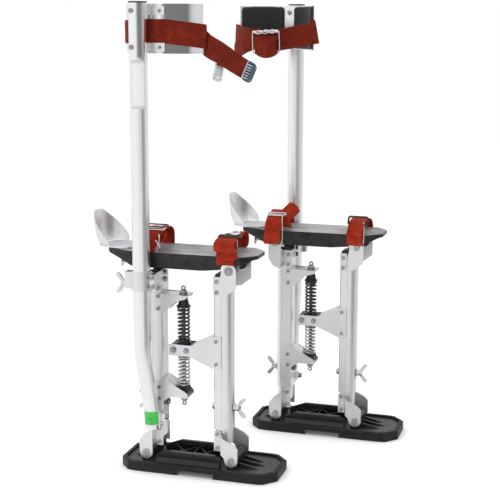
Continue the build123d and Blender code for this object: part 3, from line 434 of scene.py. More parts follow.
def dress(name, mats, pick=None, bevel=0.5, flat=True, angle=32):
    """Materials, smooth shading and softened edges for a CAD node; its vertices stay as packed.
    pick(size, centre) gives the material's number, in local millimetres, per solid."""
    o = N[name]
    me = o.data
    side = RIGHT if name.startswith("right") else LEFT
    me.materials.clear()
    for m in mats:
        me.materials.append(M[m])
    fr, vid, boxes = islands(me)
    COUNT[name] = len(boxes)
    if pick is not None and len(mats) > 1:
        num = {}
        for r, (lo, hi) in boxes.items():
            a, b = side.inv(lo), side.inv(hi)
            size = [abs(b[i] - a[i]) for i in range(3)]
            cen = [(b[i] + a[i]) / 2 for i in range(3)]
            num[r] = pick(size, cen)
        me.polygons.foreach_set("material_index", [num[int(r)] for r in fr])
    else:
        me.polygons.foreach_set("material_index", [0] * len(me.polygons))
    if me.attributes.get("custom_normal"):
        me.attributes.remove(me.attributes["custom_normal"])
    me.polygons.foreach_set("use_smooth", [True] * len(me.polygons))
    if flat:
        at = me.attributes.new("solid_id", "FLOAT", "POINT")
        at.data.foreach_set("value", vid.astype(np.float32))
        w = o.modifiers.new("weld", "NODES")
        w.node_group = WELD
        d = o.modifiers.new("flatten", "DECIMATE")
        d.decimate_type = "DISSOLVE"
        d.angle_limit = rad(0.6)
        d.delimit = {"MATERIAL"}
        b = o.modifiers.new("soften", "BEVEL")
        b.width = bevel * MM
        b.segments = 2
        b.limit_method = "ANGLE"
        b.angle_limit = rad(angle)
        b.use_clamp_overlap = True
        b.harden_normals = True
        b.miter_outer = "MITER_ARC"
        wn = o.modifiers.new("even", "WEIGHTED_NORMAL")
        wn.keep_sharp = True
        wn.weight = 60
    return o


def small(size, cen):
    """Fasteners are small, or long and thin across the stilt."""
    s = sorted(size)
    return 1 if s[2] < 17 or (s[0] < 21 and s[1] < 21 and size[1] > 25) else 0


for sd in (RIGHT, LEFT):
    n = sd.name + "_"
    dress(n + "sole", ["rubber"], bevel=1.1)
    dress(n + "floor_plate", ["cast"], bevel=0.9)
    dress(n + "heel_extension", ["alu"], bevel=0.3)
    dress(n + "toe_extension", ["alu"], bevel=0.3)
    dress(n + "heel_strut", ["alu"], bevel=0.35)
    dress(n + "toe_strut", ["alu"], bevel=0.35)
    ap = lambda s, c: 1 if (max(s) < 17 or s[1] > 60) else 0
    dress(n + "heel_ankle_plates", ["plate", "bolt"], ap, bevel=0.4)
    dress(n + "toe_ankle_plates", ["plate", "bolt"], ap, bevel=0.4)
    pp = lambda s, c: 2 if (c[2] > 405 and abs(c[1]) < 3 and s[1] < 40) else (1 if (max(s) < 17 or s[1] > 60) else 0)
    dress(n + "heel_pivot_plates", ["plate", "bolt", "plastic"], pp, bevel=0.4)
    dress(n + "toe_pivot_plates", ["plate", "bolt", "plastic"], pp, bevel=0.4)
    dress(n + "spring_brackets", ["plate", "bolt"], lambda s, c: 1 if max(s) < 17 else 0, bevel=0.4)
    dress(n + "spring_yoke", ["plate", "bolt"], lambda s, c: 1 if max(s) < 17 else 0, bevel=0.4)
    dress(n + "spring_rod", ["bolt", "plastic"], lambda s, c: 1 if (s[0] > 20 and s[2] > 10 and s[2] < 60) else 0, bevel=0.3)
    dress(n + "pivot_block", ["block", "bolt", "plastic"],
          lambda s, c: 1 if s[1] > 35 else (2 if s[2] < 5 else 0), bevel=0.6)
    dress(n + "lower_leg_tube", ["tube" if sd is RIGHT else "tube_l", "bolt"], lambda s, c: 1 if s[2] < 17 and s[1] < 60 and s[2] < 100 and max(s) < 45 and s[0] < 16 else 0, bevel=0.3)
    dress(n + "tube_clamp", ["plate", "bolt"], lambda s, c: 1 if max(s) < 26 else 0, bevel=0.5)
    dress(n + "footplate", ["deck", "bolt"], lambda s, c: 1 if max(s) < 12 else 0, bevel=0.7)
    dress(n + "heel_cup", ["cup"], bevel=0.5, angle=40)
    dress(n + "heel_cup_wing_nut", ["zinc"], bevel=0.4)
    dress(n + "upper_leg_tube", ["tube" if sd is RIGHT else "tube_l", "plastic"], lambda s, c: 1 if s[2] < 30 else 0, bevel=0.3)
    dress(n + "calf_band", ["band", "bolt", "plate"], lambda s, c: 1 if max(s) < 17 else (2 if s[2] < 60 else 0), bevel=0.4)
    for w in ("heel_wing_bolt", "toe_wing_bolt", "clamp_wing_bolt"):
        dress(n + w, ["zinc"], bevel=0.5)

for sd in (RIGHT, LEFT):
    # the bracket legs stand proud of the rolled band and have the duller finish
    me = N[sd.name + "_calf_band"].data
    c0 = sd.cuff(0.0, 0.0, 0.0)
    mi = np.zeros(len(me.polygons), np.int32)
    me.polygons.foreach_get("material_index", mi)
    for p in me.polygons:
        r_ = math.hypot(p.center[0] - c0.x, p.center[1] - c0.y)
        if r_ > 0.1304 and mi[p.index] == 0:
            mi[p.index] = 2
    me.polygons.foreach_set("material_index", mi)

# ------------------------------------------------------------------ mesh kit
def new_obj(name, verts, faces, mats, smooth=True, uvs=None, fmat=None):
    me = bpy.data.meshes.new(name)
    me.from_pydata([tuple(v) for v in verts], [], faces)
    for m in mats:
        me.materials.append(M[m])
    if uvs is not None:
        lay = me.uv_layers.new(name="UVMap")
        li = np.zeros(len(me.loops), np.int32)
        me.loops.foreach_get("vertex_index", li)
        u = np.array(uvs, np.float32)[li]
        lay.data.foreach_set("uv", u.ravel())
    if fmat is not None:
        me.polygons.foreach_set("material_index", fmat)
    bm = bmesh.new()
    bm.from_mesh(me)
    bmesh.ops.recalc_face_normals(bm, faces=bm.faces)
    bm.to_mesh(me)
    bm.free()
    me.polygons.foreach_set("use_smooth", [smooth] * len(me.polygons))
    o = bpy.data.objects.new(name, me)
    SC.collection.objects.link(o)
    return o


def spline(pts, step=0.0025, closed=False):
    """Centripetal-like Catmull-Rom through the points, resampled evenly; extra columns ride along."""
    P = np.array(pts, float)
    n = len(P)
    if closed:
        Q = np.vstack([P[-1], P, P[0], P[1]])
        segs = n
    else:
        Q = np.vstack([2 * P[0] - P[1], P, 2 * P[-1] - P[-2]])
        segs = n - 1
    out = []
    for i in range(segs):
        a, b, c, d = Q[i], Q[i + 1], Q[i + 2], Q[i + 3]
        m = 24
        for k in range(m):
            t = k / m
            out.append(0.5 * ((2 * b) + (-a + c) * t + (2 * a - 5 * b + 4 * c - d) * t * t + (-a + 3 * b - 3 * c + d) * t ** 3))
    if not closed:
        out.append(P[-1])
    else:
        out.append(out[0])
    out = np.array(out)
    seg = np.linalg.norm(np.diff(out[:, :3], axis=0), axis=1)
    s = np.concatenate([[0], np.cumsum(seg)])
    cnt = max(3, int(round(s[-1] / step)) + 1)
    ss = np.linspace(0, s[-1], cnt)
    res = np.stack([np.interp(ss, s, out[:, j]) for j in range(out.shape[1])], 1)
    if closed:
        res = res[:-1]
    return res, ss


def ribbon(name, pts, mat, width, thick=0.0022, cup=0.0, ripple=0.0, seed=1, taper_end=0.0, step=0.0025, across=12, u0=0.0, selvedge=0.55):
    """A woven strap: pts rows are x, y, z, then the face normal x, y, z, and optionally a width factor and a curl.
    The section is a soft-edged slab, thinner at the selvedges; the strap ripples a little along its length."""
    P, ss = spline(pts, step)
    X = P[:, :3]
    nn = P[:, 3:6]
    wf = P[:, 6] if P.shape[1] > 6 else np.ones(len(X))
    cl = P[:, 7] if P.shape[1] > 7 else np.zeros(len(X))
    T = np.gradient(X, axis=0)
    T /= np.linalg.norm(T, axis=1)[:, None] + 1e-12
    nn = nn - (nn * T).sum(1)[:, None] * T
    nn /= np.linalg.norm(nn, axis=1)[:, None] + 1e-12
    B = np.cross(T, nn)
    verts, uvs, faces = [], [], []
    sec = []
    for i in range(across + 1):
        s = -1 + 2 * i / across
        sec.append((s, 1.0))
    for i in range(across + 1):
        s = 1 - 2 * i / across
        sec.append((s, -1.0))
    M_ = len(sec)
    L = ss[-1]
    for r in range(len(X)):
        u = ss[r] if r < len(ss) else L
        w = width / 2 * wf[r]
        if taper_end:
            d = L - u
            if d < taper_end:
                w *= 0.35 + 0.65 * math.sqrt(max(0.0, 1 - (1 - d / taper_end) ** 2))
        for (s, up) in sec:
            prof = 1.0 if abs(s) < 0.80 else 1.0 - (1 - selvedge) * ((abs(s) - 0.80) / 0.20) ** 2
            e = 0.94 if abs(s) > 0.999 else 1.0
            off = thick / 2 * prof * up * (0.55 if abs(s) > 0.999 else 1.0)
            lat = s * w * e if abs(s) < 0.999 else s * w
            off += (cup + cl[r]) * (s * s - 0.33)
            if ripple:
                off += ripple * noise.noise(Vector((u * 38.0 + seed * 7.1, s * 1.3, seed * 3.3)))
                off += ripple * 0.35 * noise.noise(Vector((u * 120.0 + seed * 3.1, s * 3.0, seed * 1.3)))
                lat += ripple * 0.8 * noise.noise(Vector((u * 24.0, seed * 5.0, 9.0)))
            v = X[r] + B[r] * lat + nn[r] * off
            verts.append(v)
            uvs.append((u + u0, s * w))
    R = len(X)
    for r in range(R - 1):
        for k in range(M_):
            a, b = r * M_ + k, r * M_ + (k + 1) % M_
            faces.append((a, b, b + M_, a + M_))
    for r, fl in ((0, 1), (R - 1, 0)):
        base = r * M_
        for k in range(across):
            a, b = base + k, base + k + 1
            c, d = base + M_ - 1 - (k + 1), base + M_ - 1 - k
            faces.append((a, b, c, d) if fl else (d, c, b, a))
    return new_obj(name, verts, faces, [mat], True, uvs)


def tube_path(name, pts, r, mat, closed=False, seg=10, step=0.0015, raw=False):
    """Round wire along a path."""
    if raw:
        X = np.array(pts, float)
    else:
        X, _ = spline([list(p) for p in pts], step, closed)
        X = X[:, :3]
    n = len(X)
    T = np.roll(X, -1, 0) - np.roll(X, 1, 0) if closed else np.gradient(X, axis=0)
    T /= np.linalg.norm(T, axis=1)[:, None] + 1e-12
    up = np.array([0.0, 0.0, 1.0]) if abs(T[0][2]) < 0.9 else np.array([1.0, 0.0, 0.0])
    nv = np.cross(T[0], up)
    nv /= np.linalg.norm(nv)
    verts, faces = [], []
    frames = []
    for i in range(n):
        nv = nv - (nv @ T[i]) * T[i]
        nv /= np.linalg.norm(nv)
        frames.append(nv.copy())
    twist = 0.0
    if closed:
        e = frames[-1] - (frames[-1] @ T[0]) * T[0]
        e /= np.linalg.norm(e)
        twist = math.atan2(np.cross(e, frames[0]) @ T[0], e @ frames[0])
    for i in range(n):
        nv = frames[i]
        bv = np.cross(T[i], nv)
        ph = twist * i / n
        for k in range(seg):
            a = 2 * math.pi * k / seg + ph
            verts.append(X[i] + r * (math.cos(a) * nv + math.sin(a) * bv))
    for i in range(n if closed else n - 1):
        j = (i + 1) % n
        for k in range(seg):
            k2 = (k + 1) % seg
            faces.append((i * seg + k, i * seg + k2, j * seg + k2, j * seg + k))
    if not closed:
        faces.append(tuple(range(seg - 1, -1, -1)))
        faces.append(tuple((n - 1) * seg + k for k in range(seg)))
    return new_obj(name, verts, faces, [mat])


def join(name, objs):
    """One piece from several meshes, materials kept."""
    verts, faces, mats, fm, uvs = [], [], [], [], []
    for o in objs:
        me = o.data
        base = len(verts)
        verts += [tuple(o.matrix_world @ v.co) for v in me.vertices]
        idx = []
        for m in me.materials:
            if m not in mats:
                mats.append(m)
            idx.append(mats.index(m))
        lay = me.uv_layers.active
        for p in me.polygons:
            faces.append([base + v for v in p.vertices])
            fm.append(idx[p.material_index] if idx else 0)
            for li in p.loop_indices:
                uvs.append(tuple(lay.data[li].uv) if lay else (0.0, 0.0))
    me = bpy.data.meshes.new(name)
    me.from_pydata(verts, [], faces)
    for m in mats:
        me.materials.append(m)
    me.polygons.foreach_set("material_index", fm)
    me.polygons.foreach_set("use_smooth", [True] * len(me.polygons))
    lay = me.uv_layers.new(name="UVMap")
    lay.data.foreach_set("uv", np.array(uvs, np.float32).ravel())
    for o in objs:
        d = o.data
        bpy.data.objects.remove(o)
        bpy.data.meshes.remove(d)
    o = bpy.data.objects.new(name, me)
    SC.collection.objects.link(o)
    return o


# ------------------------------------------------------------------ springs
def spring(name, sd, node, r_mean, r_wire, turns, mat):
    """Coil with closed ends, laid between the ends of the packed spring node, which it hides."""
    lo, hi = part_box(node)
    cx, cy = (lo.x + hi.x) / 2, (lo.y + hi.y) / 2
    z0, z1 = lo.z + r_wire, hi.z - r_wire
    dead = 0.9
    pts = []
    steps = 36
    n = int(turns * steps)
    for i in range(n + 1):
        t = i / steps
        closed_pitch = 2.06 * r_wire
        live = (z1 - z0 - 2 * dead * closed_pitch) / (turns - 2 * dead)
        if t < dead:
            z = z0 + t * closed_pitch
        elif t > turns - dead:
            z = z1 - (turns - t) * closed_pitch
        else:
            z = z0 + dead * closed_pitch + (t - dead) * live
        a = 2 * math.pi * t * sd.sg + 0.6
        pts.append((cx + r_mean * math.cos(a), cy + r_mean * math.sin(a), z))
    P = np.array(pts)
    k = np.ones(7) / 7
    zz = np.convolve(np.pad(P[:, 2], 3, mode="edge"), k, mode="valid")
    P[:, 2] = zz
    o = tube_path(name, P, r_wire, mat, seg=12, raw=True)
    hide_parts(node)
    a, b = sd.name + "_heel_strut_body", sd.name + "_spring_block"
    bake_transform(o)
    return o


for sd in (RIGHT, LEFT):
    n = sd.name + "_"
    o = spring(n + "upper_spring_coil", sd, n + "upper_spring", 11.35 * MM, 2.15 * MM, 9.5, "spring_b")
    o = spring(n + "lower_spring_coil", sd, n + "lower_spring", 11.2 * MM, 1.75 * MM, 9.0, "spring_z")


# ------------------------------------------------------------------ straps
def row(p, n, w=1.0, curl=0.0):
    n = Vector(n).normalized()
    return [p.x, p.y, p.z, n.x, n.y, n.z, w, curl]


def frame_wire(name, c, ex, ey, w, h, r, mat, corner=0.004, bars=()):
    """Wire frame: rounded rectangle in the plane of ex, ey about c, with cross bars at fractions of the height."""
    ex, ey = Vector(ex).normalized(), Vector(ey).normalized()
    pts = []
    for (sx, sy, a0) in ((1, 1, 0), (-1, 1, 90), (-1, -1, 180), (1, -1, 270)):
        cx, cy = sx * (w / 2 - corner), sy * (h / 2 - corner)
        for k in range(5):
            a = rad(a0 + k * 22.5)
            pts.append(c + ex * (cx + corner * math.cos(a)) + ey * (cy + corner * math.sin(a)))
    parts = [tube_path(name + "_ring", pts, r, mat, closed=True, seg=10, step=0.0012)]
    for f in bars:
        a, b = c - ex * (w / 2) + ey * (h * f / 2), c + ex * (w / 2) + ey * (h * f / 2)
        parts.append(tube_path(name + "_bar", [a, (a + b) / 2, b], r * 0.95, mat, seg=10, step=0.004))
    return parts


def stitch_line(pts, nrm, r=0.00035, dash=0.0030, gap=0.0014, mat="thread"):
    """Raised thread along a line, one dash at a time."""
    P, ss = spline([list(p) + list(n) for p, n in zip(pts, nrm)], 0.0007)
    out = []
    L = ss[-1]
    s = 0.001
    i = 0
    while s + dash < L:
        q = []
        for k in range(5):
            t = s + dash * k / 4
            v = np.array([np.interp(t, ss, P[:, j]) for j in range(6)])
            lift = math.sin(math.pi * k / 4) * r * 1.1
            q.append(Vector(v[:3]) + Vector(v[3:6]).normalized() * lift)
        out.append(tube_path("st", q, r, mat, seg=6, raw=True))
        s += dash + gap
        i += 1
    return out


def disc(name, c, n, r, h, mat, dome=0.3):
    """Rivet head: a low domed disc standing h off the surface at c."""
    n = Vector(n).normalized()
    a = n.orthogonal().normalized()
    b = n.cross(a)
    prof = [(r, 0.0), (r, h * 0.35), (r * 0.92, h * 0.62), (r * 0.70, h * 0.86), (r * 0.4, h * (0.86 + dome * 0.3)), (r * 0.12, h * (0.86 + dome * 0.4))]
    seg = 20
    verts, faces = [], []
    for (pr, ph) in prof:
        for k in range(seg):
            t = 2 * math.pi * k / seg
            verts.append(c + (a * math.cos(t) + b * math.sin(t)) * pr + n * ph)
    for i in range(len(prof) - 1):
        for k in range(seg):
            k2 = (k + 1) % seg
            faces.append((i * seg + k, i * seg + k2, (i + 1) * seg + k2, (i + 1) * seg + k))
    faces.append(tuple(range(seg - 1, -1, -1)))
    faces.append(tuple((len(prof) - 1) * seg + k for k in range(seg)))
    return new_obj(name, verts, faces, [mat])


def foot_strap(sd, xc, yz, wf=1.0, drift=0.0, curl=0.0):
    """Rows for a strap over the footplate. yz are (y, z, normal y, normal z) in local millimetres."""
    n = len(yz)
    out = []
    for i, q in enumerate(yz):
        y, z, ny, nz = q[:4]
        dx = q[4] if len(q) > 4 else 0.0
        out.append(row(sd.p(xc + dx + drift * i / (n - 1), y, z), sd.d(0, ny, nz), wf, curl))
    return out


# right stilt, heel strap: crumpled over itself, its frame lying on top
R, Lf = RIGHT, LEFT
parts = [
    ribbon("a", foot_strap(R, 16, [(-49.5, 455.5, -1, 0, -7), (-51.8, 463, -1, 0.05, -5), (-53.4, 471, -1, 0.0, -2), (-53.6, 479, -1, 0.1, 1), (-51.6, 487, -0.9, 0.5, 4), (-44, 494.5, -0.5, 0.85, 7),
                                  (-30, 499, -0.1, 1, 8), (-8, 500.5, 0, 1, 8), (14, 498.5, 0.2, 1, 6), (33, 491, 0.5, 0.9, 3), (46, 479, 0.9, 0.4, 0), (50.5, 467, 1, 0.1, -1), (49.8, 455.5, 1, 0, -1)]),
           "brick", 0.037, 0.0022, ripple=0.0016, seed=3),
    ribbon("b", foot_strap(R, 18, [(-30, 502, -0.2, 1, 8), (-45, 499.0, -0.6, 0.8, 6), (-55.0, 490, -1, 0.3, 2), (-58.4, 481, -1, -0.1, -3), (-56.4, 473, -1, 0.35, -9), (-58.6, 465, -0.9, 0.5, -14), (-63.0, 460.5, -0.5, 0.9, -18)]),
           "brick", 0.030, 0.0020, ripple=0.0020, seed=11, taper_end=0.008),
    ribbon("c", foot_strap(R, 30, [(-50, 482, -0.5, -0.8, -3), (-42, 477, 0.1, -1, 0), (-33, 481, 0.5, -0.8, 2), (-28, 489, 0.9, -0.3, 3), (-30, 496, 0.6, 0.7, 3)], drift=2),
           "brick", 0.022, 0.0020, ripple=0.0018, seed=5),
]
o = join("right_heel_foot_strap", parts)
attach(o, "right_foot_deck")
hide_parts("right_foot_straps")

# right stilt, toe strap: a free end folded into a roll at the near side
parts = [
    ribbon("a", foot_strap(R, 177, [(-58.0, 441.0, -1, 0), (-58.0, 453, -1, 0), (-58.2, 463, -1, 0), (-57.4, 471, -1, 0.2), (-53.5, 479, -0.85, 0.5), (-44, 485.5, -0.5, 0.85),
                                   (-26, 490.0, -0.1, 1), (-4, 492.2, 0, 1), (18, 490.5, 0.2, 1, -3), (37, 483, 0.55, 0.85, -7), (50, 471, 0.9, 0.4, -10), (56.0, 459, 1, 0, -11), (58.1, 447, 1, 0, -11), (58.0, 433.5, 1, 0, -11)], drift=3),
           "brick", 0.036, 0.0022, ripple=0.0006, seed=21),
    ribbon("b", foot_strap(R, 178, [(-32, 492.6, -0.1, 1), (-46, 491.6, -0.3, 0.95), (-60, 490.2, -0.3, 0.95), (-71, 486.0, -0.75, 0.7), (-75.0, 478.5, -1, 0.0), (-71.5, 471.5, -0.7, -0.7), (-64.5, 469.0, -0.1, -1),
                                   (-60.6, 466.5, -0.9, -0.4), (-60.4, 459, -1, 0), (-60.4, 450, -1, 0)], drift=5),
           "brick", 0.042, 0.0024, ripple=0.0008, seed=9, taper_end=0.006),
    ribbon("b2", foot_strap(R, 181, [(-44, 486.5, -0.2, 1), (-56, 485.4, -0.3, 1), (-65, 482.0, -0.8, 0.6), (-67.6, 477.4, -1, -0.1), (-63.5, 474.2, -0.2, -1), (-57, 475.5, 0.3, -1), (-51, 478.0, 0.3, -1)], drift=1),
           "brick", 0.040, 0.0020, ripple=0.0006, seed=19),
    ribbon("c", foot_strap(R, 186, [(-22, 489, 0, 1, -4), (-6, 494, 0, 1, 0), (12, 496, 0.2, 1, 0), (27, 492, 0.5, 0.9, 0), (37, 482, 0.9, 0.4, -1), (40, 470, 1, 0, -2), (36, 461, 0.9, -0.5, -3)], drift=0),
           "brick", 0.024, 0.0020, ripple=0.0010, seed=14, taper_end=0.006),
]
o = join("right_toe_foot_strap", parts)
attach(o, "right_foot_deck")
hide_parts("right_foot_straps")

# left stilt, heel strap: flat panel outside the skirt, frame on its shoulder, free end thrown back
def free_rows(sd, pts, n, **kw):
    return [row(sd.p(*q), sd.d(*n), **kw) for q in pts]


parts = [
    ribbon("a", foot_strap(Lf, -5, [(58.0, 427.0, 1, 0), (58.3, 440, 1, 0), (58.6, 453, 1, 0, 1), (58.4, 464, 1, 0.05, 2), (56.8, 475, 1, 0.3, 4), (50.5, 484.0, 0.7, 0.75, 5), (38, 488.5, 0.3, 1, 5),
                                   (16, 491.0, 0, 1, 3), (-10, 492.5, -0.1, 1), (-34, 485, -0.4, 0.9), (-50, 472, -0.85, 0.5), (-57.6, 458, -1, 0), (-58.0, 444.5, -1, 0)], drift=1),
           "brick", 0.038, 0.0022, ripple=0.0005, seed=31),
    ribbon("b", free_rows(Lf, [(4, 46, 472), (9, 42, 478), (15, 36, 484), (21, 27, 490), (27, 17, 496.5), (32, 9.5, 502), (36, 5, 506)], (0.15, 1, 0.35)),
           "brick", 0.031, 0.0024, ripple=0.0010, seed=8, taper_end=0.007),
    ribbon("c", foot_strap(Lf, 21, [(40, 488, 0.4, -0.9, -4), (46, 482, 0.9, -0.3, 0), (48, 474, 1, 0, 3), (44, 466, 0.8, -0.6, 5), (34, 463, 0.1, -1, 6)]),
           "brick", 0.020, 0.0020, ripple=0.0010, seed=15),
]
o = join("left_heel_foot_strap", parts)
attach(o, "left_foot_deck")
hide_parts("left_foot_straps")

# left stilt, toe strap
parts = [
    ribbon("a", foot_strap(Lf, 179.5, [(58.0, 433.5, 1, 0), (58.2, 445, 1, 0), (58.4, 458, 1, 0), (57.4, 468, 1, 0.1, 2), (54.0, 475.5, 0.9, 0.45, 2), (46.5, 480.5, 0.55, 0.8, 2), (32, 483.6, 0.15, 1, 2),
                                      (8, 484.6, 0, 1), (-16, 482.5, -0.2, 1), (-38, 475.5, -0.6, 0.8), (-52, 463, -0.9, 0.4), (-57.8, 452, -1, 0), (-58.0, 441.5, -1, 0)], drift=0),
           "brick", 0.036, 0.0022, ripple=0.0005, seed=41),
    ribbon("b", foot_strap(Lf, 183, [(49, 483.6, 0.6, 0.8), (55.8, 480.5, 0.8, 0.6), (60.2, 473, 1, 0.1), (61.0, 464, 1, 0), (61.0, 453, 1, 0)], drift=-2),
           "brick", 0.033, 0.0020, ripple=0.0005, seed=18, taper_end=0.010),
]
o = join("left_toe_foot_strap", parts)
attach(o, "left_foot_deck")
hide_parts("left_foot_straps")

# frames, bars, anchors and rivets of the foot straps
xd = (1, 0, 0)
parts = frame_wire("f", R.p(22, -24, 506.0), xd, R.d(0, 1, 0.10), 0.046, 0.020, 0.0015, "plastic")
parts += frame_wire("g", R.p(24, -38, 503.2), xd, R.d(0, 1, 0.35), 0.044, 0.013, 0.0011, "buckle", bars=(0.0,))
parts += [tube_path("w", [R.p(40, -58.5, 470), R.p(41.5, -60, 480), R.p(41, -57, 489), R.p(37, -50, 494)], 0.0011, "buckle")]
parts += [tube_path("w2", [R.p(36, -44, 459), R.p(39, -50, 463), R.p(41.5, -56, 468), R.p(39, -60, 476), R.p(34, -60, 483)], 0.0013, "buckle")]
o = join("right_heel_strap_buckle", parts)
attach(o, "right_foot_deck")
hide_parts("right_foot_buckles")
parts = frame_wire("f", R.p(180, -34, 494.4), xd, R.d(0, 1, 0.06), 0.044, 0.016, 0.0017, "plastic", bars=(0.1,))
parts += [disc("d", R.p(184, -12, 497.0), R.d(0, -0.25, 1), 0.0100, 0.0024, "buckle", 0.1), disc("d", R.p(184, -12, 499.2), R.d(0, -0.25, 1), 0.0040, 0.0018, "bolt")]
parts += [tube_path("w", [R.p(198, -46, 470), R.p(200, -50, 478), R.p(199.5, -50, 486), R.p(197, -44, 492)], 0.0010, "buckle")]
o = join("right_toe_strap_buckle", parts)
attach(o, "right_foot_deck")
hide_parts("right_foot_buckles")
parts = frame_wire("f", Lf.p(2, 44.0, 491.6), xd, Lf.d(0, 0.92, -0.30), 0.040, 0.013, 0.0014, "buckle", bars=(0.15,))
parts += [tube_path("w", [Lf.p(18.5, 60.2, 430), Lf.p(19.4, 60.6, 445), Lf.p(19.6, 60.6, 462), Lf.p(18.6, 60.0, 478), Lf.p(17.5, 55.0, 489)], 0.0011, "buckle")]
parts += [disc("d", Lf.p(10, 59.5, 432.5), Lf.d(0, 1, 0), 0.0022, 0.0012, "dark_steel")]
o = join("left_heel_strap_buckle", parts)
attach(o, "left_foot_deck")
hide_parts("left_foot_buckles")
parts = frame_wire("f", Lf.p(185, 52, 487.0), xd, Lf.d(0, -0.28, 0.96), 0.042, 0.0175, 0.0022, "plastic")
parts += [tube_path("w", [Lf.p(198.8, 60.0, 440), Lf.p(199.6, 60.4, 450), Lf.p(199.6, 60.2, 462), Lf.p(199.0, 58.0, 474), Lf.p(197, 52, 485)], 0.0011, "buckle")]
parts += [disc("d", Lf.p(168, 59.5, 438.5), Lf.d(0, 1, 0), 0.0022, 0.0012, "dark_steel"), disc("d", Lf.p(192, 59.5, 438.5), Lf.d(0, 1, 0), 0.0022, 0.0012, "dark_steel")]
o = join("left_toe_strap_buckle", parts)
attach(o, "left_foot_deck")
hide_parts("left_foot_buckles")


# ------------------------------------------------------------------ calf straps
def cuff_row(sd, r, ang, z, w=1.0, curl=0.0, side=1):
    a = rad(ang)
    return row(sd.cuff(r, ang, z), sd.cd(math.sin(a) * side, -math.cos(a) * side, 0.0), w, curl)


def cq_row(sd, x, y, z, nx, ny, nz, w=1.0, curl=0.0):
    n = sd.cd(nx, ny, 0.0) * 1000.0
    return row(sd.cq(x, y, z), Vector((n.x, n.y, nz)), w, curl)


W = 0.045
# right: round the outside of the band, hemmed at its far end, tail hanging from inside
rows = [cuff_row(R, 118.2, -44, 886, side=-1), cuff_row(R, 118.4, -49, 886, side=-1)]
for t in range(0, 6):
    a = rad(180 * t / 5)
    r_, an = 125.2 - 6.6 * math.cos(a), -52.2 - 2.0 * math.sin(a)
    base = rad(an)
    nr, nt = -math.cos(a), -math.sin(a)
    rows.append(row(R.cuff(r_, an, 886), R.cd(math.sin(base) * nr + math.cos(base) * nt, -math.cos(base) * nr + math.sin(base) * nt, 0.0)))
for an in range(-46, 50, 8):
    z = 886 + (2.0 if -10 < an < 25 else 0.0) - max(0.0, an - 25) * 0.26
    rows.append(cuff_row(R, 132.0, an, z))
for t in range(0, 5):
    a = rad(150 * t / 4)
    r_, an = 126.6 + 5.4 * math.cos(a), 52.4 + 2.3 * math.sin(a)
    base = rad(an)
    nr, nt = math.cos(a), math.sin(a)
    rows.append(row(R.cuff(r_, an, 878.5), R.cd(math.sin(base) * nr + math.cos(base) * nt, -math.cos(base) * nr + math.sin(base) * nt, 0.0)))
parts = [ribbon("band_run", rows, "brown", W, 0.0024, ripple=0.0003, seed=51)]
ex, ey = 10.5 + 132 * math.sin(rad(54)), 75 - 132 * math.cos(rad(54))
rows = [cq_row(R, ex - 16, ey + 11.5, 869, -0.25, -1, 0.05), cq_row(R, ex - 8, ey + 8.5, 865.5, -0.22, -1, 0.05), cq_row(R, ex + 1, ey + 5, 861, -0.2, -1, 0.05)]
for d, dz, ny in ((14, 1.0, 0.0), (30, 2.0, 0.5), (48, 1.5, 0.8), (66, 0.0, 0.5), (82, -1.0, 0.0), (94, -1.0, 0.0), (103, -1.0, 0.0)):
    c, s_ = math.cos(rad(27.5)), math.sin(rad(27.5))
    rows.append(cq_row(R, ex + 2 + d * c * math.cos(rad(13)), ey + 2 + d * c * math.sin(rad(13)) - ny * 2, 860.5 - d * s_ * 0.985 + dz, -0.2 + 0.02 * ny, -1, 0.1, w=1.0 - 0.17 * (d / 108.0) ** 1.5, curl=0.0004))
tail_rows = rows
parts.append(ribbon("tail", rows, "brown", 0.043, 0.0024, ripple=0.0005, seed=52, cup=0.0006))
rows = [cq_row(R, ex + 12, ey + 12, 862, 0.5, -0.85, 0), cq_row(R, ex + 21, ey + 15, 853, 0.5, -0.85, 0), cq_row(R, ex + 25, ey + 16.5, 843, 0.5, -0.85, 0), cq_row(R, ex + 23, ey + 17, 833, 0.5, -0.85, 0), cq_row(R, ex + 19, ey + 17, 821, 0.5, -0.85, 0)]
parts.append(ribbon("end", rows, "brown", 0.019, 0.0022, ripple=0.0004, seed=53))
# two rows of hem stitching down the end of the band run
p0 = [R.cuff(133.4, 51.0, z) for z in range(860, 900, 4)]
nn = [R.cd(math.sin(rad(51)), -math.cos(rad(51)), 0) * 1000 for _ in p0]
parts += stitch_line(p0, nn)
p0 = [R.cuff(133.4, 48.6, z) for z in range(861, 901, 4)]
parts += stitch_line(p0, nn)
o = join("right_calf_strap_webbing", parts)
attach(o, "right_calf_cuff")
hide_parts("right_calf_strap")


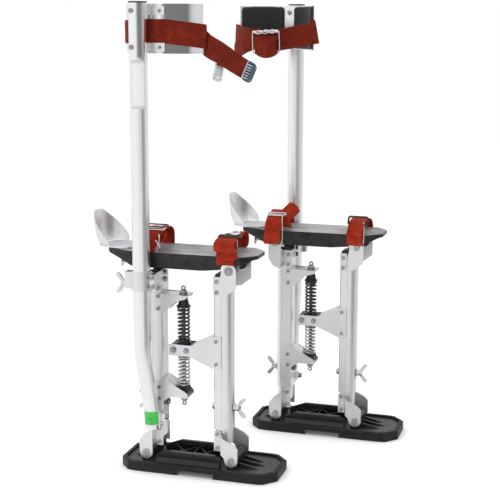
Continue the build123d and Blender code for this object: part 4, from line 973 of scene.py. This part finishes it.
def clasp(name, c, u, v, n, w, h, mat="dark_steel", round_=5.0):
    """Pressed steel clasp: a dished plate with a rolled rim, a toothed bar and a slot. u runs along the strap."""
    u, v, n = [Vector(q).normalized() for q in (u, v, n)]
    parts = []
    verts, faces = [], []
    nu, nv = 14, 20
    grid = {}
    for s_, off in ((1, 0.0), (-1, -0.0011)):
        for i in range(nu + 1):
            for j in range(nv + 1):
                a, b = -1 + 2 * i / nu, -1 + 2 * j / nv
                k_ = (abs(a) ** round_ + abs(b) ** round_) ** (1.0 / round_)
                m_ = max(abs(a), abs(b))
                sc = m_ / k_ if k_ > 1e-6 else 1.0
                aa, bb = a * sc, b * sc
                rim = max(0.0, (m_ - 0.72) / 0.28)
                rib = 0.0007 * (1 if (abs(bb) < 0.72 and abs(aa) < 0.6 and int((bb + 1) * 5.0) % 2 == 0) else 0)
                hgt = 0.0016 * math.sin(rim * math.pi * 0.5) ** 2 + rib + off
                grid[(s_, i, j)] = len(verts)
                verts.append(c + u * (aa * h / 2) + v * (bb * w / 2) + n * hgt)
    for s_ in (1, -1):
        for i in range(nu):
            for j in range(nv):
                q = (grid[(s_, i, j)], grid[(s_, i + 1, j)], grid[(s_, i + 1, j + 1)], grid[(s_, i, j + 1)])
                faces.append(q if s_ > 0 else q[::-1])
    edge = [(i, 0) for i in range(nu)] + [(nu, j) for j in range(nv)] + [(i, nv) for i in range(nu, 0, -1)] + [(0, j) for j in range(nv, 0, -1)]
    for a, b in zip(edge, edge[1:] + edge[:1]):
        faces.append((grid[(1, *a)], grid[(-1, *a)], grid[(-1, *b)], grid[(1, *b)]))
    parts.append(new_obj(name + "_plate", verts, faces, [mat]))
    parts.append(tube_path(name + "_bar", [c + u * (-h * 0.36) + v * (-w * 0.47) + n * 0.0026, c + u * (-h * 0.36) + n * 0.0032, c + u * (-h * 0.36) + v * (w * 0.47) + n * 0.0026], 0.0012, "buckle"))
    parts += frame_wire(name + "_rim", c + n * 0.0008, v, u, w * 1.0, h * 1.0, 0.0011, "buckle" if round_ > 4 else mat, corner=0.005 if round_ > 4 else 0.008)
    for f in (-0.36, -0.22, -0.08, 0.06, 0.20, 0.34):
        a_, b_ = c + u * (-h * 0.30) + v * (w * (f + 0.02)) + n * 0.0030, c + u * (h * 0.16) + v * (w * f) + n * 0.0012
        parts.append(tube_path(name + "_tooth", [a_, (a_ + b_) / 2 + n * 0.0008, b_], 0.0010, "buckle", seg=8, step=0.002))
    return parts


c, s_ = math.cos(rad(27.5)), math.sin(rad(27.5))
u = R.cd(c * math.cos(rad(13)), c * math.sin(rad(13)), 0) * 1000 + Vector((0, 0, -s_))
nrm = R.cd(-0.2, -1, 0) * 1000 + Vector((0, 0, 0.1))
nrm = (nrm - u.normalized() * nrm.dot(u.normalized())).normalized()
v = u.cross(nrm)
cen = R.cq(ex + 2 + 101 * c * math.cos(rad(13)), ey + 2 + 101 * c * math.sin(rad(13)), 860.5 - 101 * s_ + 0.5) + nrm * 0.0022
parts = clasp("cl", cen, u, v, nrm, 0.038, 0.022, round_=2.6)
# metal tip on the short end
tipc = R.cq(ex + 16.5, ey + 17, 813)
tu, tn = (R.cd(-0.30, 0, 0) * 1000 + Vector((0, 0, -1))).normalized(), (R.cd(0.5, -0.85, 0) * 1000).normalized()
parts += frame_wire("tip", tipc, tu.cross(tn), tu, 0.0145, 0.036, 0.0016, "buckle", corner=0.004, bars=(-0.55,))
parts += clasp("tipp", tipc + tu * 0.003 + tn * 0.0004, tu, tu.cross(tn), tn, 0.0120, 0.026, "buckle")
o = join("right_calf_strap_clasp", parts)
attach(o, "right_calf_cuff")
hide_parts("right_calf_strap")

# left: band run behind, closing run in front of the pad, looped through a wire buckle
ro = 133.2
xe, ye = ro * math.sin(rad(54.4)), -ro * math.cos(rad(54.4))


def close_pt(t, dz=0.0, off=0.0):
    """Point on the closing run, t from the heel side end to the toe side end."""
    x = -xe + 2 * xe * t
    y = ye + 4 + (62 + off) * math.sin(math.pi * t) + off
    dx = 2 * xe
    dy = 62 * math.pi * math.cos(math.pi * t)
    n = Vector((-dy, dx, 0)).normalized()
    return 10.5 + x, 75 + y, n


rows = []
for t in range(0, 5):
    a = rad(150 * t / 4)
    r_, an = 126.6 + 5.4 * math.cos(rad(150) - a), -52.4 - 2.3 * math.sin(rad(150) - a)
    base = rad(an)
    nr, nt = math.cos(rad(150) - a), -math.sin(rad(150) - a)
    rows.append(row(Lf.cuff(r_, an, 876.5), Lf.cd(math.sin(base) * nr + math.cos(base) * nt, -math.cos(base) * nr + math.sin(base) * nt, 0.0)))
for an in range(-46, 50, 8):
    rows.append(cuff_row(Lf, 132.0, an, 888 - max(0.0, -an - 16) * 0.32))
for t in range(0, 5):
    a = rad(150 * t / 4)
    r_, an = 126.6 + 5.4 * math.cos(a), 52.4 + 2.3 * math.sin(a)
    base = rad(an)
    nr, nt = math.cos(a), math.sin(a)
    rows.append(row(Lf.cuff(r_, an, 886), Lf.cd(math.sin(base) * nr + math.cos(base) * nt, -math.cos(base) * nr + math.sin(base) * nt, 0.0)))
parts = [ribbon("band_run", rows, "brown", W, 0.0024, ripple=0.0003, seed=61)]
# closing run, toe side: from the band's end, drooping towards the buckle
rows = []
for t in (1.024, 0.995, 0.96, 0.92, 0.87, 0.82, 0.76, 0.70, 0.645, 0.60):
    x, y, n = close_pt(t)
    z = 881.5 - (1.0 - t) * 52.0 + (max(0.0, 0.72 - t) * 30.0)
    rows.append(cq_row(Lf, x, y, z, n.x, n.y, 0.06))
parts.append(ribbon("run_toe", rows, "brown", 0.045, 0.0024, ripple=0.0006, seed=62))
# heel side: short run into the buckle
rows = []
for t in (-0.012, 0.02, 0.08, 0.16, 0.25, 0.34, 0.42, 0.47):
    x, y, n = close_pt(t)
    z = 878.0 - t * 22.0
    rows.append(cq_row(Lf, x, y, z, n.x, n.y, 0.04))
parts.append(ribbon("run_heel", rows, "brown", 0.045, 0.0024, ripple=0.0006, seed=63))
# loop hanging through the buckle
xm, ym, nm = close_pt(0.625)
tx = Vector((nm.y, -nm.x, 0))
rows = []
for (dn, dz) in ((1.5, 870.0), (4.0, 874.5), (8.0, 873.0), (11.0, 865.5), (12.2, 855.0), (11.2, 844.5), (8.0, 838.5), (4.6, 839.0), (3.6, 845.0), (3.4, 853.0), (3.4, 861.0)):
    ang_n = None
    rows.append([dn, dz])
pts = []
for i, (dn, dz) in enumerate(rows):
    a = rows[max(0, i - 1)]
    b = rows[min(len(rows) - 1, i + 1)]
    tn_, tz = b[0] - a[0], b[1] - a[1]
    l_ = math.hypot(tn_, tz)
    onx, onz = -tz / l_, tn_ / l_
    pts.append(cq_row(Lf, xm + nm.x * dn, ym + nm.y * dn, dz, nm.x * onx, nm.y * onx, onz, curl=0.0006))
loop = ribbon("loop", pts, "brown", 0.049, 0.0024, ripple=0.0005, seed=64)
# the loop's belly sags: its middle hangs lower than its ends
c0 = Lf.cq(xm, ym, 0)
td = (Lf.cd(tx.x, tx.y, 0) * 1000).normalized()
for vtx in loop.data.vertices:
    q = (vtx.co - Vector((c0.x, c0.y, vtx.co.z))).dot(td) / 0.0245
    vtx.co.z -= 0.0085 * max(0.0, 1 - q * q) * max(0.0, min(1.0, (0.868 - vtx.co.z) / 0.02)) - 0.001
parts.append(loop)
# free end, hanging back and down past the heel side
rows = []
for t, dn, z in ((0.58, 3.5, 872.0), (0.51, 4.2, 869.0), (0.44, 5.0, 865.0), (0.37, 6.5, 860.0), (0.29, 7.5, 853.0), (0.20, 8.0, 844.5), (0.13, 8.0, 836.0)):
    x, y, n = close_pt(t)
    rows.append(cq_row(Lf, x + n.x * dn, y + n.y * dn, z, n.x, n.y, -0.05))
parts.append(ribbon("free_end", rows, "brown", 0.042, 0.0024, ripple=0.0006, seed=65, taper_end=0.010))
o = join("left_calf_strap_webbing", parts)
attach(o, "left_calf_cuff")
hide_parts("left_calf_strap")

# wire buckle: a bent wire frame, its top bar wrapped by two twisted wires
bx_, by_, bn = close_pt(0.625)
bc = Lf.cq(bx_ + bn.x * 8.0, by_ + bn.y * 8.0, 863.0)
eu = (Lf.cd(tx.x, tx.y, 0) * 1000).normalized()
bnn = (Lf.cd(bn.x, bn.y, 0) * 1000).normalized()
ev = Vector((0, 0, 1)) + bnn * 0.10
parts = frame_wire("wb", bc, eu + Vector((0, 0, 0.05)), ev, 0.060, 0.047, 0.0014, "buckle", corner=0.006)
top = bc + Vector((0, 0, 0.0215)) + bnn * 0.0035
for ph, amp_, r_ in ((0.0, 0.0036, 0.0013), (math.pi, 0.0036, 0.0013), (1.3, 0.0022, 0.0011)):
    q = []
    for i in range(61):
        f = -1 + 2 * i / 60
        am = amp_ * (1.0 - 0.5 * abs(f) ** 3)
        q.append(top + eu * (0.0285 * f) + Vector((0, 0, am * math.cos(ph + f * 5.6) + 0.0012 * math.sin(f * 3.0))) + bnn * (am * 0.6 * math.sin(ph + f * 5.6) + 0.001))
    parts.append(tube_path("tw", q, r_, "buckle", seg=8, step=0.0012))
o = join("left_calf_strap_buckle", parts)
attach(o, "left_calf_cuff")
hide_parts("left_calf_strap")


# ------------------------------------------------------------------ calf pads
def pad_panel(name, sd, a0, a1, z0, z1, seed, r_out=127.75, deep=6.2):
    """Foam panel glued inside the band: a rounded-corner outline, crowned face and a soft rolled edge."""
    nu, nv = 46, 44
    ha, hz = (a1 - a0) / 2, (z1 - z0) / 2
    ca, cz_ = (a1 + a0) / 2, (z1 + z0) / 2
    wa, wz = rad(ha) * 124.0, hz
    rc = 8.0
    verts, faces = [], []
    top = {}
    for s_ in (0, 1):
        for i in range(nu + 1):
            for j in range(nv + 1):
                a, b = -1 + 2 * i / nu, -1 + 2 * j / nv
                a, b = math.sin(a * math.pi / 2) * 0.35 + a * 0.65, math.sin(b * math.pi / 2) * 0.35 + b * 0.65
                x, z = a * wa, b * wz
                ax, az_ = abs(x) - (wa - rc), abs(z) - (wz - rc)
                if ax > 0 and az_ > 0:
                    m_ = max(ax, az_)
                    l_ = math.hypot(ax, az_)
                    ax, az_ = ax * m_ / l_, az_ * m_ / l_
                    x, z = math.copysign(wa - rc + ax, x), math.copysign(wz - rc + az_, z)
                    e = rc - math.hypot(ax, az_)
                else:
                    e = min(wa - abs(x), wz - abs(z))
                t = 0.0
                if s_:
                    k_ = min(1.0, max(0.0, e) / 5.5)
                    t = 1.6 + (deep - 1.6) * math.sqrt(max(0.0, 1 - (1 - k_) ** 2))
                    t -= 0.55 * math.exp(-((e - 7.0) / 1.3) ** 2)
                    t += 0.9 * max(0.0, 1 - (x / wa) ** 2) * max(0.0, 1 - (z / wz) ** 2) - 0.9
                    t += 0.22 * noise.noise(Vector((x * 0.09, z * 0.07, seed)))
                    t = min(t, deep)
                r_ = r_out - t
                top[(s_, i, j)] = len(verts)
                verts.append(sd.cuff(r_, ca + math.degrees(x / 124.0), cz_ + z))
    for s_ in (0, 1):
        for i in range(nu):
            for j in range(nv):
                q = (top[(s_, i, j)], top[(s_, i + 1, j)], top[(s_, i + 1, j + 1)], top[(s_, i, j + 1)])
                faces.append(q if s_ else q[::-1])
    edge = [(i, 0) for i in range(nu)] + [(nu, j) for j in range(nv)] + [(i, nv) for i in range(nu, 0, -1)] + [(0, j) for j in range(nv, 0, -1)]
    for a, b in zip(edge, edge[1:] + edge[:1]):
        faces.append((top[(0, *a)], top[(0, *b)], top[(1, *b)], top[(1, *a)]))
    return new_obj(name, verts, faces, ["foam"])


for sd in (RIGHT, LEFT):
    parts = [pad_panel("h", sd, -50.6, -6.5, 847.5, 937.5, 1.7), pad_panel("t", sd, 6.5, 50.6, 847.5, 937.5, 5.3)]
    o = join(sd.name + "_calf_pad_panels", parts)
    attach(o, sd.name + "_calf_cuff")
    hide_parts(sd.name + "_calf_pad")
    parts = []
    for z in (926.0, 858.0):
        for a in (-0.0,):
            inw = (sd.cd(-math.sin(rad(a)), math.cos(rad(a)), 0) * 1000).normalized()
            parts.append(disc("n", sd.cuff(127.95, a, z), inw, 0.0048, 0.0026, "bolt", 0.4))
            parts.append(disc("n", sd.cuff(127.95, a, z), inw, 0.0066, 0.0010, "zinc", 0.0))
    o = join(sd.name + "_band_inner_nuts", parts)
    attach(o, sd.name + "_calf_cuff")


# ------------------------------------------------------------------ blank labels
def tube_label(name, sd, node, mat, ang0, ang1, z0, z1, guess, body, off=0.00022):
    """A thin wrapped label laid on the tube's own surface; guess(z) is about the tube's axis in local millimetres."""
    me = N[node].data
    from mathutils.bvhtree import BVHTree
    bvh = BVHTree.FromPolygons([v.co[:] for v in me.vertices], [tuple(p.vertices) for p in me.polygons])
    nu, nv = 30, 24
    verts, uvs, faces = [], [], []
    for s_ in (0, 1):
        for j in range(nv + 1):
            for i in range(nu + 1):
                z = z0 + (z1 - z0) * j / nv
                a = rad(ang0 + (ang1 - ang0) * i / nu)
                gx, gy = guess(z)
                d = sd.d(math.sin(a), -math.cos(a), 0)
                axis = sd.p(gx, gy, z)
                hit = bvh.ray_cast(axis + d * 0.05, -d, 0.05)
                p = hit[0] if hit[0] is not None else axis + d * 0.0175
                verts.append(p + d * (off if s_ else 0.00004))
                uvs.append((i / nu, j / nv))
    n1 = (nu + 1) * (nv + 1)
    idx = lambda s_, i, j: s_ * n1 + j * (nu + 1) + i
    for j in range(nv):
        for i in range(nu):
            q = (idx(1, i, j), idx(1, i + 1, j), idx(1, i + 1, j + 1), idx(1, i, j + 1))
            faces.append(q)
            faces.append(tuple(k - n1 for k in q[::-1]))
    edge = [(i, 0) for i in range(nu)] + [(nu, j) for j in range(nv)] + [(i, nv) for i in range(nu, 0, -1)] + [(0, j) for j in range(nv, 0, -1)]
    for a, b in zip(edge, edge[1:] + edge[:1]):
        faces.append((idx(0, *a), idx(0, *b), idx(1, *b), idx(1, *a)))
    o = new_obj(name, verts, faces, [mat], True, uvs)
    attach(o, body)
    return o


def low_axis(z):
    return (13.95, -39.9 - max(0.0, z - 95.0) * 0.10)


for sd in (RIGHT, LEFT):
    n = sd.name + "_"
    o = tube_label(n + "green_label", sd, n + "lower_leg_tube", "green_label", -52, 84, 96.0, 129.0, low_axis, n + "heel_strut_body", 0.00030)
    o = tube_label(n + "white_label", sd, n + "upper_leg_tube", "white_label", -26, 66, 742.0, 834.0, lambda z: (10.5, -77.0), n + "leg_tube", 0.00022)

# ------------------------------------------------------------------ stage, light, camera
def plane(name, size, loc, rot, mat=None):
    bm = bmesh.new()
    bmesh.ops.create_grid(bm, x_segments=1, y_segments=1, size=0.5)
    me = bpy.data.meshes.new(name)
    bm.to_mesh(me)
    bm.free()
    o = bpy.data.objects.new(name, me)
    SC.collection.objects.link(o)
    o.scale = (size[0], size[1], 1)
    o.location = loc
    o.rotation_euler = rot
    if mat:
        me.materials.append(mat)
    return o


k = Mat("pale_floor")
g = k.noise(3.0, 4.0)
k.set(Base_Color=k.mix(g, (0.93, 0.93, 0.935), (0.96, 0.96, 0.965)), Roughness=0.65, Specular_IOR_Level=0.15)
k.b.inputs["Emission Color"].default_value = (1, 1, 1, 1)
# the floor's own glow fades close to the soles, so each stilt keeps a soft contact shadow
ao = k.t.nodes.new("ShaderNodeAmbientOcclusion")
ao.inputs["Distance"].default_value = 0.12
ao.samples = 8
k.t.links.new(k.rng(ao.outputs["AO"], 0.35, 0.95, 0.06, 0.34), k.b.inputs["Emission Strength"])
AROUND = ((-180, 0.93), (-122, 0.95), (-106, 0.90), (-88, 0.88), (-73, 0.86), (-42, 0.70), (-16, 0.54), (8, 0.64), (40, 0.78), (90, 0.82), (180, 0.93))


def around(t, vec):
    """Brightness of the surroundings by compass direction, as the metal sees them."""
    sp_ = t.nodes.new("ShaderNodeSeparateXYZ")
    t.links.new(vec, sp_.inputs[0])
    at_ = t.nodes.new("ShaderNodeMath")
    at_.operation = "ARCTAN2"
    t.links.new(sp_.outputs["Y"], at_.inputs[0])
    t.links.new(sp_.outputs["X"], at_.inputs[1])
    mr = t.nodes.new("ShaderNodeMapRange")
    t.links.new(at_.outputs[0], mr.inputs["Value"])
    mr.inputs["From Min"].default_value = -math.pi
    mr.inputs["From Max"].default_value = math.pi
    rp_ = t.nodes.new("ShaderNodeValToRGB")
    t.links.new(mr.outputs["Result"], rp_.inputs["Fac"])
    el_ = rp_.color_ramp.elements
    while len(el_) < len(AROUND):
        el_.new(0.5)
    for e_, (d_, v_) in zip(el_, AROUND):
        e_.position = (d_ + 180) / 360
        e_.color = (v_, v_, v_ * 1.005, 1)
    return rp_.outputs["Color"]


# mirrored in the metal, the floor is as bright as the room in that direction
lpf = k.t.nodes.new("ShaderNodeLightPath")
gf = k.t.nodes.new("ShaderNodeNewGeometry")
emf = k.t.nodes.new("ShaderNodeEmission")
k.t.links.new(around(k.t, gf.outputs["Position"]), emf.inputs[0])
mxf = k.t.nodes.new("ShaderNodeMixShader")
k.t.links.new(lpf.outputs["Is Glossy Ray"], mxf.inputs[0])
k.t.links.new(k.b.outputs[0], mxf.inputs[1])
k.t.links.new(emf.outputs[0], mxf.inputs[2])
k.t.links.new(mxf.outputs[0], k.out.inputs[0])
floor = plane("floor", (14, 14), (0, 0, -0.0005), (0, 0, 0), k.m)

world = bpy.data.worlds.new("studio")
SC.world = world
world.use_nodes = True
wt = world.node_tree
bg = wt.nodes["Background"]
lp = wt.nodes.new("ShaderNodeLightPath")
tc = wt.nodes.new("ShaderNodeTexCoord")
sp = wt.nodes.new("ShaderNodeSeparateXYZ")
wt.links.new(tc.outputs["Generated"], sp.inputs[0])
rp = wt.nodes.new("ShaderNodeValToRGB")
wt.links.new(sp.outputs["Z"], rp.inputs["Fac"])
el = rp.color_ramp.elements
el[0].position, el[0].color = 0.0, (0.54, 0.54, 0.55, 1)
el[1].position, el[1].color = 0.75, (0.80, 0.80, 0.81, 1)
mx = wt.nodes.new("ShaderNodeMix")
mx.data_type = "RGBA"
wt.links.new(lp.outputs["Is Camera Ray"], mx.inputs[0])
wt.links.new(rp.outputs["Color"], mx.inputs[6])
mx.inputs[7].default_value = (1, 1, 1, 1)
mg_ = wt.nodes.new("ShaderNodeMix")
mg_.data_type = "RGBA"
wt.links.new(lp.outputs["Is Glossy Ray"], mg_.inputs[0])
wt.links.new(mx.outputs[2], mg_.inputs[6])
wt.links.new(around(wt, tc.outputs["Generated"]), mg_.inputs[7])
wt.links.new(mg_.outputs[2], bg.inputs[0])
bg.inputs[1].default_value = 1.0


def area(name, loc, target, size, power, color=(1, 1, 1)):
    li = bpy.data.lights.new(name, "AREA")
    li.shape = "RECTANGLE"
    li.size, li.size_y = size
    li.energy = power
    li.color = color
    o = bpy.data.objects.new(name, li)
    SC.collection.objects.link(o)
    o.location = loc
    d = Vector(target) - Vector(loc)
    o.rotation_euler = d.to_track_quat("-Z", "Y").to_euler()
    return o


area("key", (-1.6, -2.2, 2.4), (0, 0, 0.45), (1.6, 1.6), 15).visible_glossy = False
area("fill", (2.4, -1.6, 1.6), (0, 0, 0.45), (1.4, 2.0), 5).visible_glossy = False
area("top", (0.1, 0.2, 3.0), (0, 0, 0.3), (2.2, 2.2), 12)


def card(name, size, loc, target, value):
    """A plain card seen only in glossy reflections, as a photographer's flag."""
    kk = Mat(name + "_card")
    e = kk.t.nodes.new("ShaderNodeEmission")
    e.inputs[0].default_value = (value, value, value * 1.02, 1)
    e.inputs[1].default_value = 1.0
    kk.t.links.new(e.outputs[0], kk.out.inputs[0])
    o = plane(name, size, loc, (0, 0, 0), kk.m)
    d = Vector(target) - Vector(loc)
    o.rotation_euler = d.to_track_quat("Z", "Y").to_euler()
    o.visible_camera = False
    o.visible_diffuse = False
    o.visible_shadow = False
    o.visible_transmission = False
    o.visible_volume_scatter = False
    return o


CAM = Vector((0.70468, -2.35901, 0.90897))
card("flag_right", (0.72, 1.5), (0.62, -0.50, 0.40), (-0.163, -0.234, 0.55), 0.34)
card("flag_front", (0.30, 3.0), (1.0, -3.2, 1.0), (0, 0, 0.6), 0.30)

cam_d = bpy.data.cameras.new("camera")
cam = bpy.data.objects.new("camera", cam_d)
SC.collection.objects.link(cam)
az, el, ro = rad(16.869), rad(10.978), rad(0.126)
Rv = Vector((math.cos(az), math.sin(az), 0))
Fv = Vector((-math.sin(az) * math.cos(el), math.cos(az) * math.cos(el), -math.sin(el)))
Uv = Rv.cross(Fv)
R2 = Rv * math.cos(ro) + Uv * math.sin(ro)
U2 = -Rv * math.sin(ro) + Uv * math.cos(ro)
cam.matrix_world = Matrix(((R2.x, U2.x, -Fv.x, CAM.x), (R2.y, U2.y, -Fv.y, CAM.y), (R2.z, U2.z, -Fv.z, CAM.z), (0, 0, 0, 1)))
cam_d.lens = 85.355
cam_d.sensor_width = 36.0
cam_d.sensor_fit = "HORIZONTAL"
cam_d.clip_start, cam_d.clip_end = 0.02, 60
SC.camera = cam
SC.view_settings.view_transform = "Standard"
SC.view_settings.look = "None"
